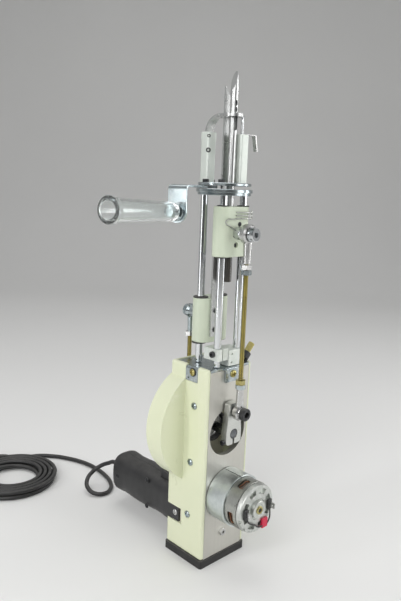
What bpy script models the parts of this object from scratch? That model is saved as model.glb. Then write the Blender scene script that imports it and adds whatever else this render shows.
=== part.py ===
"""Handheld tufting machine: housing, motor, belt drive, two sliders on four rods, needle, knife and grip.

Metres, +Z up. The origin is at the centre of the base's underside. The needle points up, the aluminium
front with the crank and the motor faces -Y, and the black grip leaves the back along +Y.
"""
import math

import bmesh
import bpy
from mathutils import Matrix, Vector

# Clearances and shared small sizes
GAP = 0.0003
OVERRUN = 0.002
EDGE = 0.0006
ROUND = 40
SMALL_ROUND = 20
WIRE_ROUND = 12
MERGE = 0.0001

# Housing
HOUSING_WIDTH = 0.052
HOUSING_DEPTH = 0.0446
FOOT_HEIGHT = 0.0067
FOOT_OVERHANG = 0.0008
SHELL_WALL = 0.0026
SHELL_LIP = 0.003
SHELL_CORNER = 0.002
FRONT_PLATE_THICKNESS = 0.005
MID_PLATE_THICKNESS = 0.004
PULLEY_CHAMBER_DEPTH = 0.0188
REAR_PLATE_THICKNESS = 0.0024
STANDOFF_RADIUS = 0.0033
STANDOFF_INSET = 0.0045
BULGE_CLEARANCE = 0.0049
HOUSING_CROWN = 0.0054
TAB_PLACE_share = 0.42

# Crank and belt drive
BELT_CENTRES = 0.055
SHAFT_RADIUS = 0.004
NEEDLE_THROW_share = 0.3636
KNIFE_THROW = 0.0075
WINDOW_RADIUS = 0.0206
CRANK_ARM_THICKNESS = 0.0060
CRANK_HUB_RADIUS = 0.0088
CRANK_TIP_RADIUS = 0.0070
CRANK_SLOT = 0.0014
REAR_CRANK_THICKNESS = 0.0024
REAR_CRANK_RADIUS = 0.0118
BEARING_OUTER_RADIUS = 0.011
BEARING_WIDTH = 0.007
BEARING_FLANGE_RADIUS = 0.0175
BEARING_FLANGE_THICKNESS = 0.003
BUSHING_WALL = 0.003
BEARING_RACE_share = 0.26
BUSHING_FLANGE = 0.0025
PULLEY_RADIUS_share = 0.7727
PULLEY_WIDTH = 0.0072
PULLEY_FLANGE = 0.0016
PULLEY_FLANGE_THICKNESS = 0.0008
PULLEY_RIM = 0.005
PULLEY_WEB = 0.0024
PULLEY_HUB_RADIUS = 0.010
PULLEY_HOLES = 6
PULLEY_HOLE_share = 0.36
BELT_THICKNESS = 0.0014
MOTOR_PULLEY_RADIUS = 0.0064

# Motor
MOTOR_HEIGHT = 0.062
MOTOR_RADIUS = 0.0208
MOTOR_LENGTH = 0.0620
MOTOR_HOLE_CLEARANCE = 0.0004
MOTOR_SHAFT_RADIUS = 0.0025
MOTOR_BOSS_RADIUS = 0.0085
MOTOR_BOSS_LENGTH = 0.003
FLUX_RING_WALL = 0.0013
FLUX_RING_LENGTH = 0.0195
FLUX_RING_SEAM = 0.0009
FLUX_SEAM_TURN = math.radians(-18.0)
MOTOR_CAP_THICKNESS = 0.0045
MOTOR_CAP_BOSS_RADIUS = 0.0075
MOTOR_CAP_BOSS_LENGTH = 0.003
MOTOR_VENT_LENGTH = 0.009
MOTOR_VENT_WIDTH = 0.014
MOTOR_VENT_DEPTH = 0.0016
VENT_PLACE_share = 0.4
TERMINAL_LENGTH = 0.007
TERMINAL_WIDTH = 0.0048
TERMINAL_THICKNESS = 0.0009
TERMINAL_PLACE_share = 0.68

# Rods, bracket and ring plate
ROD_RADIUS = 0.003
ROD_SPACING_X = 0.0227
ROD_SPACING_Y = 0.0217
ROD_CENTRE_INSET = 0.01595
ROD_REACH = 0.138
BRACKET_THICKNESS = 0.0018
BRACKET_INSET = 0.0035
BRACKET_TAB_WIDTH = 0.014
BRACKET_TAB_LENGTH = 0.013
ROD_BLOCK_HEIGHT = 0.0135
ROD_BLOCK_DEPTH = 0.0165
ROD_BLOCK_BEFORE_ROD = 0.0048
ROD_BLOCK_BESIDE_ROD = 0.0040
ROD_BLOCK_SPLIT = 0.0008
ROD_BLOCK_SPLIT_share = 0.2775
CLAMP_BLOCK_HEIGHT = 0.0100
CLAMP_BLOCK_RISE = 0.0061
CLAMP_SLIT = 0.0010
CLAMP_SLIT_BESIDE_ROD = 0.0016
CLAMP_SLIT_share = 0.6
RING_RADIUS = 0.0226
RING_STEP = 0.0012
RING_LOWER_THICKNESS = 0.0022
RING_MAIN_THICKNESS = 0.0027
RING_CAP_THICKNESS = 0.0022
RING_SLOT_WIDTH = 0.0112

# Posts, presser foot and yarn hook
POST_SIDE = 0.0080
REAR_POST_SIDE = 0.0074
LEFT_POST_X = -0.0062
LEFT_POST_BACK = 0.01395
LEFT_POST_HEIGHT = 0.0388
POST_HEAD_HEIGHT = 0.0072
POST_HEAD_OVERHANG = 0.0005
REAR_POST_X = 0.0122
REAR_POST_BACK = 0.00915
REAR_POST_HEIGHT = 0.0362
RIGHT_POST_X = 0.0082
RIGHT_POST_FRONT = 0.00855
RIGHT_POST_HEIGHT = 0.0375
FOOT_EYE_RISE = 0.0515
FOOT_EYE_THICKNESS = 0.0024
FOOT_EYE_WALL = 0.0026
FOOT_STRIP_WIDTH = 0.0062
FOOT_STRIP_THICKNESS = 0.0014
FOOT_ROD_RADIUS = 0.0011
HOOK_WIDTH = 0.005
HOOK_THICKNESS = 0.001
HOOK_REACH = 0.0115
HOOK_DROP = 0.012
HOOK_PLACE_share = 0.84

# How far along towards the eye, and how far up, the presser foot's round brace runs
FOOT_BEND_shares = ((0.0, 0.35), (0.0, 0.72), (0.2, 0.97), (1.0, 1.0))

# Side handle, turned about the vertical a little towards the front
ARM_PIVOT_REACH = 0.0271
ARM_PIVOT_BACK = 0.00085
ARM_TURN = math.radians(14.0)
ARM_LENGTH = 0.0445
ARM_WIDTH = 0.017
ARM_THICKNESS = 0.002
ARM_BEND_RADIUS = 0.0022
ARM_DROP = 0.0205
HANDLE_LENGTH = 0.0725
HANDLE_INNER_RADIUS = 0.0072
HANDLE_OUTER_RADIUS = 0.0084
HANDLE_FLANGE_RADIUS = 0.0094
HANDLE_RISE = math.radians(1.4)
HANDLE_WALL = 0.0022
HANDLE_FLANGE_THICKNESS = 0.003
HANDLE_BOLT_RADIUS = 0.0025
HANDLE_NUT_RADIUS = 0.0046
HANDLE_NUT_THICKNESS = 0.0035
HANDLE_WASHER_RADIUS = 0.0068
HANDLE_WASHER_THICKNESS = 0.0015

# Needle and its slider
NEEDLE_BEHIND_RODS = 0.0042
NEEDLE_RADIUS = 0.0032
NEEDLE_WALL = 0.0009
NEEDLE_REACH = 0.0845
NEEDLE_BEVEL_HEIGHT = 0.0115
NEEDLE_SOCKET = 0.010
NEEDLE_EYE_WIDTH = 0.0022
NEEDLE_EYE_LENGTH = 0.012
NEEDLE_EYE_BELOW_TIP = 0.030
SLIDER_BELOW_RING = 0.0083
SLIDER_HEIGHT = 0.0397
SLIDER_WIDTH = 0.0333
SLIDER_DEPTH = 0.016
SLIDER_BEHIND_RODS = 0.0023
YARN_TUBE_RADIUS = 0.0040
YARN_TUBE_BORE = 0.0021
YARN_TUBE_LENGTH = 0.021

# Knife and its slider
KNIFE_SLIDER_ABOVE_BRACKET = 0.0179
KNIFE_SLIDER_HEIGHT = 0.0372
KNIFE_SLIDER_DEPTH = 0.018
KNIFE_THICKNESS = 0.0016
KNIFE_WIDTH = 0.0058
KNIFE_CARRIER_WIDTH = 0.012
KNIFE_CARRIER_REACH = 0.0337
KNIFE_CARRIER_START = 0.0054
KNIFE_BELOW_NEEDLE = 0.0110
KNIFE_BEVEL_HEIGHT = 0.010
KNIFE_TIP_STEPS = 6

# Connecting rods
ROD_END_CLEARANCE = 0.0009
FRONT_PIN_BELOW_TOP = 0.0207
REAR_ROD_CLEARANCE = 0.0005
REAR_PIN_RISE = 0.0211
EYE_THICKNESS = 0.0076
UPPER_EYE_RADIUS = 0.0078
LOWER_EYE_RADIUS = 0.0065
REAR_EYE_RADIUS = 0.0062
REAR_EYE_THICKNESS = 0.0056
PIN_RADIUS = 0.0030
PIN_HEAD_RADIUS = 0.0052
PIN_HEAD_LENGTH = 0.0046
SHANK_RADIUS = 0.0030
NUT_RADIUS = 0.0044
NUT_HEIGHT = 0.0040
THREAD_RADIUS = 0.0020
SHANK_LENGTH = 0.0155
LOWER_SHANK_LENGTH = 0.0135
EYE_SHANK_share = 0.8
SOCKET_share = 0.5

# Grip, trigger and its switch
GRIP_LENGTH = 0.0955
GRIP_AXIS_HEIGHT = 0.031
GRIP_WIDTH = 0.032
GRIP_HEIGHT = 0.038
GRIP_WALL = 0.0025
GRIP_POWER = 3.0
GRIP_POINTS = 28
GRIP_SWELL_share = (0.98, 1.0, 0.97, 0.93, 0.93, 0.96, 0.99, 1.0, 1.0, 0.98, 0.97, 1.0, 1.04)
MOUNT_HEIGHT = 0.0134
MOUNT_CENTRE = 0.037
MOUNT_NECK_WIDTH = 0.0200
MOUNT_NECK_REACH = 0.0070
TRIGGER_INSET = 0.0104
TRIGGER_LENGTH = 0.022
TRIGGER_WIDTH = 0.012
TRIGGER_PROUD = 0.0072
TRIGGER_TRAVEL = 0.005
TRIGGER_FLANGE = 0.0014
TRIGGER_FLANGE_THICKNESS = 0.002
TRIGGER_FLANGE_DROP = 0.0052
TRIGGER_SAG_share = 0.4
TRIGGER_STEPS = 10
SWITCH_WIDTH = 0.0102
SWITCH_LENGTH = 0.0175
SWITCH_HEIGHT = 0.0135
SWITCH_RIB = 0.0016

# Thumb screw at the front right corner of the bracket
THUMB_SCREW_BESIDE_ROD = 0.01045
THUMB_SCREW_FRONT_INSET = 0.0038
THUMB_SCREW_HEIGHT = 0.0084
THUMB_SCREW_TILT = math.radians(48.0)
THUMB_SCREW_RADIUS = 0.0016
THUMB_HEAD_RADIUS = 0.0027
THUMB_HEAD_LENGTH = 0.0115
THUMB_COLLAR_RADIUS = 0.0043
THUMB_COLLAR_LENGTH = 0.006

# Cord
CORD_RADIUS = 0.0022
CORD_STEP = 0.0106
GLAND_RADIUS = 0.0058
GLAND_LENGTH = 0.015
GLAND_NECK = 0.003
GLAND_RIBS = 4
COIL_X = -0.072
COIL_Y = 0.2225
COIL_OUTER_RADIUS = 0.0455
COIL_LOOPS = 4
COIL_LOOP_POINTS = 20
COIL_SPACING = 0.0050
LAYER_CLEARANCE = 0.0002
COIL_START_ANGLE = math.radians(70.0)
PLUG_RADIUS = 0.0052
PLUG_LENGTH = 0.026
PLUG_WAIST_share = 0.72
PLUG_BARREL_RADIUS = 0.00275
PLUG_BARREL_LENGTH = 0.0095
PLUG_BARREL_BORE = 0.0011

# The route of the cord's free stretch, from the strain relief to the coil
CORD_ROUTE = (
    (0.0000, 0.1480, 0.0262),
    (-0.0040, 0.1560, 0.0215),
    (-0.0120, 0.1595, 0.0160),
    (-0.0215, 0.1560, 0.0105),
    (-0.0260, 0.1470, 0.0060),
    (-0.0235, 0.1375, 0.0032),
    (-0.0150, 0.1330, 0.0024),
    (-0.0050, 0.1370, 0.0024),
    (0.0030, 0.1480, 0.0024),
    (0.0085, 0.1650, 0.0024),
    (0.0105, 0.1870, 0.0024),
    (0.0080, 0.2080, 0.0024),
    (0.0000, 0.2290, 0.0024),
    (-0.0110, 0.2460, 0.0024),
    (-0.0250, 0.2580, 0.0024),
)

# Places worked out from the sizes above
HALF_WIDTH = HOUSING_WIDTH / 2
FRONT = -HOUSING_DEPTH / 2
BACK = HOUSING_DEPTH / 2
CRANK_HEIGHT = MOTOR_HEIGHT + BELT_CENTRES
NEEDLE_THROW = BELT_CENTRES * NEEDLE_THROW_share
PULLEY_RADIUS = BELT_CENTRES * PULLEY_RADIUS_share
BULGE_RADIUS = PULLEY_RADIUS + PULLEY_FLANGE + BULGE_CLEARANCE + SHELL_WALL
HOUSING_TOP = CRANK_HEIGHT + BULGE_RADIUS + HOUSING_CROWN
SHELL_BASE = FOOT_HEIGHT + GAP
INNER_HALF_WIDTH = HALF_WIDTH - SHELL_WALL
INNER_BACK = BACK - SHELL_WALL
PLATE_BACK = FRONT + FRONT_PLATE_THICKNESS
MID_PLATE_BACK = BACK - PULLEY_CHAMBER_DEPTH + MID_PLATE_THICKNESS
MID_PLATE_FRONT = MID_PLATE_BACK - MID_PLATE_THICKNESS
REAR_PLATE_BACK = INNER_BACK - GAP
REAR_PLATE_FRONT = REAR_PLATE_BACK - REAR_PLATE_THICKNESS
CRANK_ARM_BACK = FRONT - 4 * GAP
CRANK_ARM_FRONT = CRANK_ARM_BACK - CRANK_ARM_THICKNESS
REAR_CRANK_FRONT = BACK + GAP
REAR_CRANK_BACK = REAR_CRANK_FRONT + REAR_CRANK_THICKNESS
PULLEY_FRONT = MID_PLATE_BACK + 2 * GAP
PULLEY_BACK = PULLEY_FRONT + PULLEY_WIDTH
PULLEY_MIDDLE = (PULLEY_FRONT + PULLEY_BACK) / 2
BELT_WIDTH = PULLEY_WIDTH - 2 * PULLEY_FLANGE_THICKNESS - 2 * GAP
PLATE_TOP = HOUSING_TOP - SHELL_WALL - GAP
BRACKET_BASE = PLATE_TOP + GAP
BRACKET_TOP = BRACKET_BASE + BRACKET_THICKNESS
SIDE_TAB_X = HALF_WIDTH - BRACKET_THICKNESS
ROD_X = ROD_SPACING_X / 2
ROD_CENTRE_Y = FRONT + ROD_CENTRE_INSET
FRONT_ROD_PAIR_Y = ROD_CENTRE_Y - ROD_SPACING_Y / 2
REAR_ROD_PAIR_Y = ROD_CENTRE_Y + ROD_SPACING_Y / 2
NEEDLE_Y = FRONT_ROD_PAIR_Y + NEEDLE_BEHIND_RODS
LEFT_POST_Y = ROD_CENTRE_Y + LEFT_POST_BACK
REAR_POST_Y = ROD_CENTRE_Y + REAR_POST_BACK
RIGHT_POST_Y = ROD_CENTRE_Y - RIGHT_POST_FRONT
ARM_PIVOT_X = -RING_RADIUS - ARM_PIVOT_REACH
ARM_PIVOT_Y = ROD_CENTRE_Y + ARM_PIVOT_BACK
RING_UNDERSIDE = HOUSING_TOP + ROD_REACH
RING_MAIN_TOP = RING_UNDERSIDE + RING_LOWER_THICKNESS + RING_MAIN_THICKNESS
ARM_BASE = RING_MAIN_TOP + GAP
ARM_TOP = ARM_BASE + ARM_THICKNESS
RING_CAP_BASE = ARM_TOP + GAP
RING_CAP_TOP = RING_CAP_BASE + RING_CAP_THICKNESS
POST_BASE = RING_CAP_TOP + GAP
FOOT_EYE_HEIGHT = POST_BASE + FOOT_EYE_RISE
NEEDLE_TIP = POST_BASE + NEEDLE_REACH
SLIDER_TOP = RING_UNDERSIDE - SLIDER_BELOW_RING
SLIDER_BASE = SLIDER_TOP - SLIDER_HEIGHT
SLIDER_CENTRE_Y = FRONT_ROD_PAIR_Y + SLIDER_BEHIND_RODS
SLIDER_FRONT = SLIDER_CENTRE_Y - SLIDER_DEPTH / 2
KNIFE_SLIDER_BASE = BRACKET_TOP + KNIFE_SLIDER_ABOVE_BRACKET
KNIFE_SLIDER_TOP = KNIFE_SLIDER_BASE + KNIFE_SLIDER_HEIGHT
KNIFE_SLIDER_CENTRE_Y = REAR_ROD_PAIR_Y
KNIFE_SLIDER_FRONT = KNIFE_SLIDER_CENTRE_Y - KNIFE_SLIDER_DEPTH / 2
KNIFE_SLIDER_BACK = KNIFE_SLIDER_CENTRE_Y + KNIFE_SLIDER_DEPTH / 2
KNIFE_Y = KNIFE_SLIDER_FRONT - GAP - KNIFE_THICKNESS / 2
KNIFE_CARRIER_BASE = KNIFE_SLIDER_BASE + KNIFE_CARRIER_START
KNIFE_CARRIER_TOP = KNIFE_SLIDER_TOP + KNIFE_CARRIER_REACH
KNIFE_TIP = NEEDLE_TIP - KNIFE_BELOW_NEEDLE
FRONT_ROD_Y = CRANK_ARM_FRONT - ROD_END_CLEARANCE - EYE_THICKNESS / 2
FRONT_PIN_HEIGHT = SLIDER_TOP - FRONT_PIN_BELOW_TOP
REAR_ROD_Y = REAR_CRANK_BACK + REAR_ROD_CLEARANCE + REAR_EYE_THICKNESS / 2
REAR_PIN_HEIGHT = KNIFE_SLIDER_BASE + REAR_PIN_RISE
THUMB_SCREW_X = ROD_X + THUMB_SCREW_BESIDE_ROD
THUMB_SCREW_Y = FRONT + THUMB_SCREW_FRONT_INSET
CRANK_PIN_HEIGHT = CRANK_HEIGHT + NEEDLE_THROW
REAR_CRANK_PIN_HEIGHT = CRANK_HEIGHT - KNIFE_THROW
GRIP_START = BACK + GAP
GRIP_END = GRIP_START + GRIP_LENGTH
TRIGGER_START = GRIP_START + TRIGGER_INSET
HANDLE_AXIS_HEIGHT = ARM_TOP - ARM_DROP

X_AXIS = Vector((1, 0, 0))
Y_AXIS = Vector((0, 1, 0))
Z_AXIS = Vector((0, 0, 1))


# Scene and helpers

def clear_scene():
    for obj in list(bpy.data.objects):
        bpy.data.objects.remove(obj, do_unlink=True)


def make_collection(name):
    collection = bpy.data.collections.new(name)
    bpy.context.scene.collection.children.link(collection)
    return collection


def make_material(name, colour, roughness, metallic=0.0, transmission=0.0):
    material = bpy.data.materials.new(name)
    material.use_nodes = True
    shader = material.node_tree.nodes["Principled BSDF"]
    shader.inputs["Base Color"].default_value = (*colour, 1.0)
    shader.inputs["Roughness"].default_value = roughness
    shader.inputs["Metallic"].default_value = metallic
    shader.inputs["Transmission Weight"].default_value = transmission
    return material


def shade(mesh, angle=35.0):
    mesh.shade_smooth()
    mesh.set_sharp_from_angle(angle=math.radians(angle))


def mesh_object(name, bm, collection):
    """A mesh object made from bm, its faces turned outwards."""
    bmesh.ops.recalc_face_normals(bm, faces=bm.faces)
    mesh = bpy.data.meshes.new(name)
    bm.to_mesh(mesh)
    bm.free()
    shade(mesh)
    obj = bpy.data.objects.new(name, mesh)
    collection.objects.link(obj)
    return obj


def box(name, low, high, collection=None, bevel=0.0, segments=2):
    """A box between two opposite corners, its edges rounded by bevel."""
    low, high = Vector(low), Vector(high)
    bm = bmesh.new()
    bmesh.ops.create_cube(bm, size=1.0)
    size = high - low
    bmesh.ops.scale(bm, vec=size, verts=bm.verts)
    bmesh.ops.translate(bm, vec=(low + high) / 2, verts=bm.verts)
    obj = mesh_object(name, bm, collection or CUTTERS)
    if bevel > 0:
        rounded = obj.modifiers.new("edges", "BEVEL")
        rounded.width = bevel
        rounded.segments = segments
    return obj


def rod(name, start, end, radius, collection=None, end_radius=None, sides=SMALL_ROUND):
    """A round bar, or a cone where end_radius differs, from start to end."""
    start, end = Vector(start), Vector(end)
    along = end - start
    turn = along.to_track_quat("Z", "Y").to_matrix().to_4x4()
    place = Matrix.Translation((start + end) / 2) @ turn
    bm = bmesh.new()
    bmesh.ops.create_cone(bm, cap_ends=True, segments=sides, radius1=radius,
                          radius2=radius if end_radius is None else end_radius,
                          depth=along.length, matrix=place)
    return mesh_object(name, bm, collection or CUTTERS)


def turned(name, profile, start, direction, collection=None, sides=ROUND):
    """A profile of (radius, height) points turned about the axis through start; closed if its ends differ."""
    turn = Vector(direction).to_track_quat("Z", "Y").to_matrix().to_4x4()
    mesh = bpy.data.meshes.new(name)
    edges = [(i, i + 1) for i in range(len(profile) - 1)]
    if profile[0][0] > 0 and profile[-1][0] > 0:
        edges.append((len(profile) - 1, 0))
    mesh.from_pydata([(radius, 0, height) for radius, height in profile], edges, [])
    raw = bpy.data.objects.new(name, mesh)
    CUTTERS.objects.link(raw)
    screw = raw.modifiers.new("turn", "SCREW")
    screw.steps = sides
    screw.render_steps = sides
    screw.use_merge_vertices = True
    screw.merge_threshold = MERGE
    bpy.context.view_layer.update()
    evaluated = raw.evaluated_get(bpy.context.evaluated_depsgraph_get())
    bm = bmesh.new()
    bm.from_mesh(evaluated.to_mesh())
    bmesh.ops.remove_doubles(bm, verts=bm.verts, dist=MERGE / 10)
    bmesh.ops.transform(bm, matrix=Matrix.Translation(Vector(start)) @ turn, verts=bm.verts)
    bpy.data.objects.remove(raw, do_unlink=True)
    return mesh_object(name, bm, collection or CUTTERS)


def curve_to_mesh(name, curve, collection):
    raw = bpy.data.objects.new(name, curve)
    CUTTERS.objects.link(raw)
    bpy.context.view_layer.update()
    evaluated = raw.evaluated_get(bpy.context.evaluated_depsgraph_get())
    mesh = bpy.data.meshes.new_from_object(evaluated)
    bm = bmesh.new()
    bm.from_mesh(mesh)
    bmesh.ops.remove_doubles(bm, verts=bm.verts, dist=MERGE / 10)
    bpy.data.objects.remove(raw, do_unlink=True)
    bpy.data.meshes.remove(mesh)
    return mesh_object(name, bm, collection or CUTTERS)


def plate(name, loops, thickness, place, collection=None):
    """A flat outline with holes, thickened evenly about its own plane and then placed."""
    curve = bpy.data.curves.new(name, "CURVE")
    curve.dimensions = "2D"
    curve.fill_mode = "BOTH"
    curve.extrude = thickness / 2
    for loop in loops:
        spline = curve.splines.new("POLY")
        spline.points.add(len(loop) - 1)
        for point, (x, y) in zip(spline.points, loop):
            point.co = (x, y, 0, 1)
        spline.use_cyclic_u = True
    obj = curve_to_mesh(name, curve, collection)
    obj.data.transform(place)
    return obj


def tube(name, points, radius, collection=None, resolution=2):
    """A round wire through the points."""
    curve = bpy.data.curves.new(name, "CURVE")
    curve.dimensions = "3D"
    curve.bevel_depth = radius
    curve.bevel_resolution = resolution
    curve.use_fill_caps = True
    spline = curve.splines.new("POLY")
    spline.points.add(len(points) - 1)
    for point, place in zip(spline.points, points):
        point.co = (*place, 1)
    return curve_to_mesh(name, curve, collection)


def boolean(target, tools, operation):
    for tool in tools:
        tool.hide_render = True
        tool.display_type = "WIRE"
        step = target.modifiers.new(operation.lower(), "BOOLEAN")
        step.operation = operation
        step.solver = "EXACT"
        step.object = tool
    return target


def cut(target, *tools):
    return boolean(target, tools, "DIFFERENCE")


def join(target, *tools):
    return boolean(target, tools, "UNION")


def arc(centre, radius, start, end, count):
    """Points on an arc from start to end, in degrees."""
    points = []
    for i in range(count + 1):
        angle = math.radians(start + (end - start) * i / count)
        points.append((centre[0] + radius * math.cos(angle), centre[1] + radius * math.sin(angle)))
    return points


def circle(centre, radius, count):
    """A full round of points for a closed outline."""
    return arc(centre, radius, 0, 360 - 360 / count, count - 1)


def stadium(width, depth, centre=(0, 0), count=12):
    """An outline with round ends, wider along X."""
    radius = depth / 2
    reach = width / 2 - radius
    right = arc((centre[0] + reach, centre[1]), radius, -90, 90, count)
    left = arc((centre[0] - reach, centre[1]), radius, 90, 270, count)
    return right + left


def tall_stadium(width, depth, centre=(0, 0), count=10):
    """An outline with round ends, longer along Y."""
    return [(centre[0] + y, centre[1] - x) for x, y in stadium(depth, width, (0, 0), count)]


def upright(y):
    """Places an outline drawn in X and Z on the plane at depth y."""
    return Matrix.Translation((0, y, 0)) @ Matrix.Rotation(math.radians(90), 4, "X")


def finish(obj, material, carrier=None):
    """Gives a part its material and hangs it on the empty of its moving body."""
    obj.data.materials.clear()
    obj.data.materials.append(material)
    if carrier is not None:
        shift = carrier.location
        obj.data.transform(Matrix.Translation(-shift))
        obj.parent = carrier
        for step in obj.modifiers:
            if step.type == "BOOLEAN" and step.object.parent is None:
                step.object.data.transform(Matrix.Translation(-shift))
                step.object.parent = carrier
    return obj


def axis_empty(name, place):
    empty = bpy.data.objects.new(name, None)
    empty.location = place
    empty.empty_display_size = SHAFT_RADIUS
    PARTS.objects.link(empty)
    return empty


# Housing

def make_foot(mat):
    return finish(box("base_foot", (-HALF_WIDTH - FOOT_OVERHANG, FRONT - FOOT_OVERHANG, 0),
                      (HALF_WIDTH + FOOT_OVERHANG, BACK + FOOT_OVERHANG, FOOT_HEIGHT), PARTS, EDGE), mat)


def make_shell(name, side, mat):
    """One moulded half: a wall with a front lip, a closed top and the bulge round the drive pulley."""
    def across(near, far):
        return (min(side * near, side * far), max(side * near, side * far))

    x0, x1 = across(GAP / 2, HALF_WIDTH)
    shell = box(name, (x0, FRONT, SHELL_BASE), (x1, BACK, HOUSING_TOP), PARTS, SHELL_CORNER)
    bulge = rod(name + "_bulge", (0, BACK - PULLEY_CHAMBER_DEPTH, CRANK_HEIGHT), (0, BACK, CRANK_HEIGHT),
                BULGE_RADIUS, sides=2 * ROUND)
    rounded = bulge.modifiers.new("edges", "BEVEL")
    rounded.width = SHELL_CORNER
    rounded.segments = 3
    rounded.limit_method = "ANGLE"
    x0, x1 = across(GAP / 2 - BULGE_RADIUS - OVERRUN, GAP / 2)
    other_side = box(name + "_half", (x0, FRONT - OVERRUN, 0), (x1, BACK + OVERRUN, HOUSING_TOP + OVERRUN))
    x0, x1 = across(-OVERRUN, INNER_HALF_WIDTH)
    cavity = box(name + "_cavity", (x0, FRONT + SHELL_WALL, SHELL_BASE + SHELL_WALL),
                 (x1, INNER_BACK, HOUSING_TOP - SHELL_WALL))
    drum = rod(name + "_drum", (0, BACK - PULLEY_CHAMBER_DEPTH + SHELL_WALL, CRANK_HEIGHT),
               (0, INNER_BACK, CRANK_HEIGHT), BULGE_RADIUS - SHELL_WALL, sides=2 * ROUND)
    x0, x1 = across(-OVERRUN, HALF_WIDTH - SHELL_LIP)
    opening = box(name + "_front", (x0, FRONT - OVERRUN, SHELL_BASE - OVERRUN),
                  (x1, PLATE_BACK + GAP, HOUSING_TOP + OVERRUN))
    shaft_hole = rod(name + "_shaft", (0, INNER_BACK - OVERRUN, CRANK_HEIGHT),
                     (0, BACK + OVERRUN, CRANK_HEIGHT), SHAFT_RADIUS + BUSHING_WALL + GAP)
    half_neck = MOUNT_NECK_WIDTH / 2 + GAP
    neck_hole = box(name + "_neck", (-half_neck, INNER_BACK - OVERRUN, MOUNT_CENTRE - MOUNT_HEIGHT / 2 - GAP),
                    (half_neck, BACK + OVERRUN, MOUNT_CENTRE + MOUNT_HEIGHT / 2 + GAP))
    x0, x1 = across(INNER_HALF_WIDTH - OVERRUN, HALF_WIDTH + OVERRUN)
    notch = box(name + "_notch", (x0, MID_PLATE_FRONT - GAP, MOUNT_CENTRE - MOUNT_HEIGHT / 2 - GAP),
                (x1, BACK + OVERRUN, MOUNT_CENTRE + MOUNT_HEIGHT / 2 + GAP))
    half_tab = BRACKET_TAB_WIDTH / 2 + GAP
    tab_y = FRONT + HOUSING_DEPTH * TAB_PLACE_share
    x0, x1 = across(SIDE_TAB_X - GAP, HALF_WIDTH + OVERRUN)
    tab_notch = box(name + "_tab", (x0, tab_y - half_tab, HOUSING_TOP - BRACKET_TAB_LENGTH - GAP),
                    (x1, tab_y + half_tab, HOUSING_TOP + OVERRUN))
    x0, x1 = across(HALF_WIDTH - BRACKET_INSET - OVERRUN, HALF_WIDTH + OVERRUN)
    fold_notch = box(name + "_fold", (x0, tab_y - half_tab, PLATE_TOP - GAP),
                     (x1, tab_y + half_tab, HOUSING_TOP + OVERRUN))
    x0, x1 = across(-OVERRUN, HALF_WIDTH - BRACKET_INSET + GAP)
    seat = box(name + "_seat", (x0, FRONT - OVERRUN, PLATE_TOP - GAP),
               (x1, BACK - BRACKET_INSET + GAP, HOUSING_TOP + OVERRUN))
    join(shell, bulge)
    cut(shell, other_side, cavity, drum, opening, shaft_hole, neck_hole, notch, tab_notch, fold_notch, seat)
    return finish(shell, mat)


def make_front_plate(mat):
    half = HALF_WIDTH - SHELL_LIP - GAP
    outline = [(-half, SHELL_BASE + GAP), (half, SHELL_BASE + GAP),
               (half, PLATE_TOP), (-half, PLATE_TOP)]
    window = circle((0, CRANK_HEIGHT), WINDOW_RADIUS, ROUND)
    hole = circle((0, MOTOR_HEIGHT), MOTOR_RADIUS + MOTOR_HOLE_CLEARANCE, ROUND)
    middle = (FRONT + PLATE_BACK) / 2
    obj = plate("front_plate", [outline, window, hole], FRONT_PLATE_THICKNESS, upright(middle), PARTS)
    return finish(obj, mat)


def make_mid_plate(mat):
    """The plate that carries the motor and the front bearing, with six stand-offs to the front plate."""
    half = INNER_HALF_WIDTH - GAP
    base = SHELL_BASE + SHELL_WALL + GAP
    top = PLATE_TOP
    outline = [(-half, base), (half, base), (half, top), (-half, top)]
    bore = circle((0, CRANK_HEIGHT), SHAFT_RADIUS + BUSHING_WALL, SMALL_ROUND)
    boss = circle((0, MOTOR_HEIGHT), MOTOR_BOSS_RADIUS + GAP, SMALL_ROUND)
    middle = (MID_PLATE_FRONT + MID_PLATE_BACK) / 2
    obj = plate("mid_plate", [outline, bore, boss], MID_PLATE_THICKNESS, upright(middle), PARTS)
    posts = []
    rows = (base + STANDOFF_INSET, (MOTOR_HEIGHT + MOTOR_RADIUS + CRANK_HEIGHT) / 2 - SHAFT_RADIUS,
            top - STANDOFF_INSET)
    for row, height in enumerate(rows):
        for side in (-1, 1):
            x = side * (half - STANDOFF_RADIUS - GAP)
            posts.append(rod(f"standoff_{row}_{side}", (x, PLATE_BACK + GAP, height),
                             (x, MID_PLATE_FRONT + MID_PLATE_THICKNESS / 2, height), STANDOFF_RADIUS,
                             sides=WIRE_ROUND))
    join(obj, *posts)
    return finish(obj, mat)


def make_rear_plate(mat):
    half = INNER_HALF_WIDTH - GAP
    base = MOTOR_HEIGHT - MOTOR_PULLEY_RADIUS
    outline = [(-half, base), (half, base), (half, PLATE_TOP), (-half, PLATE_TOP)]
    bore = circle((0, CRANK_HEIGHT), SHAFT_RADIUS + BUSHING_WALL + GAP, SMALL_ROUND)
    middle = (REAR_PLATE_FRONT + REAR_PLATE_BACK) / 2
    return finish(plate("rear_plate", [outline, bore], REAR_PLATE_THICKNESS, upright(middle), PARTS), mat)


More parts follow.
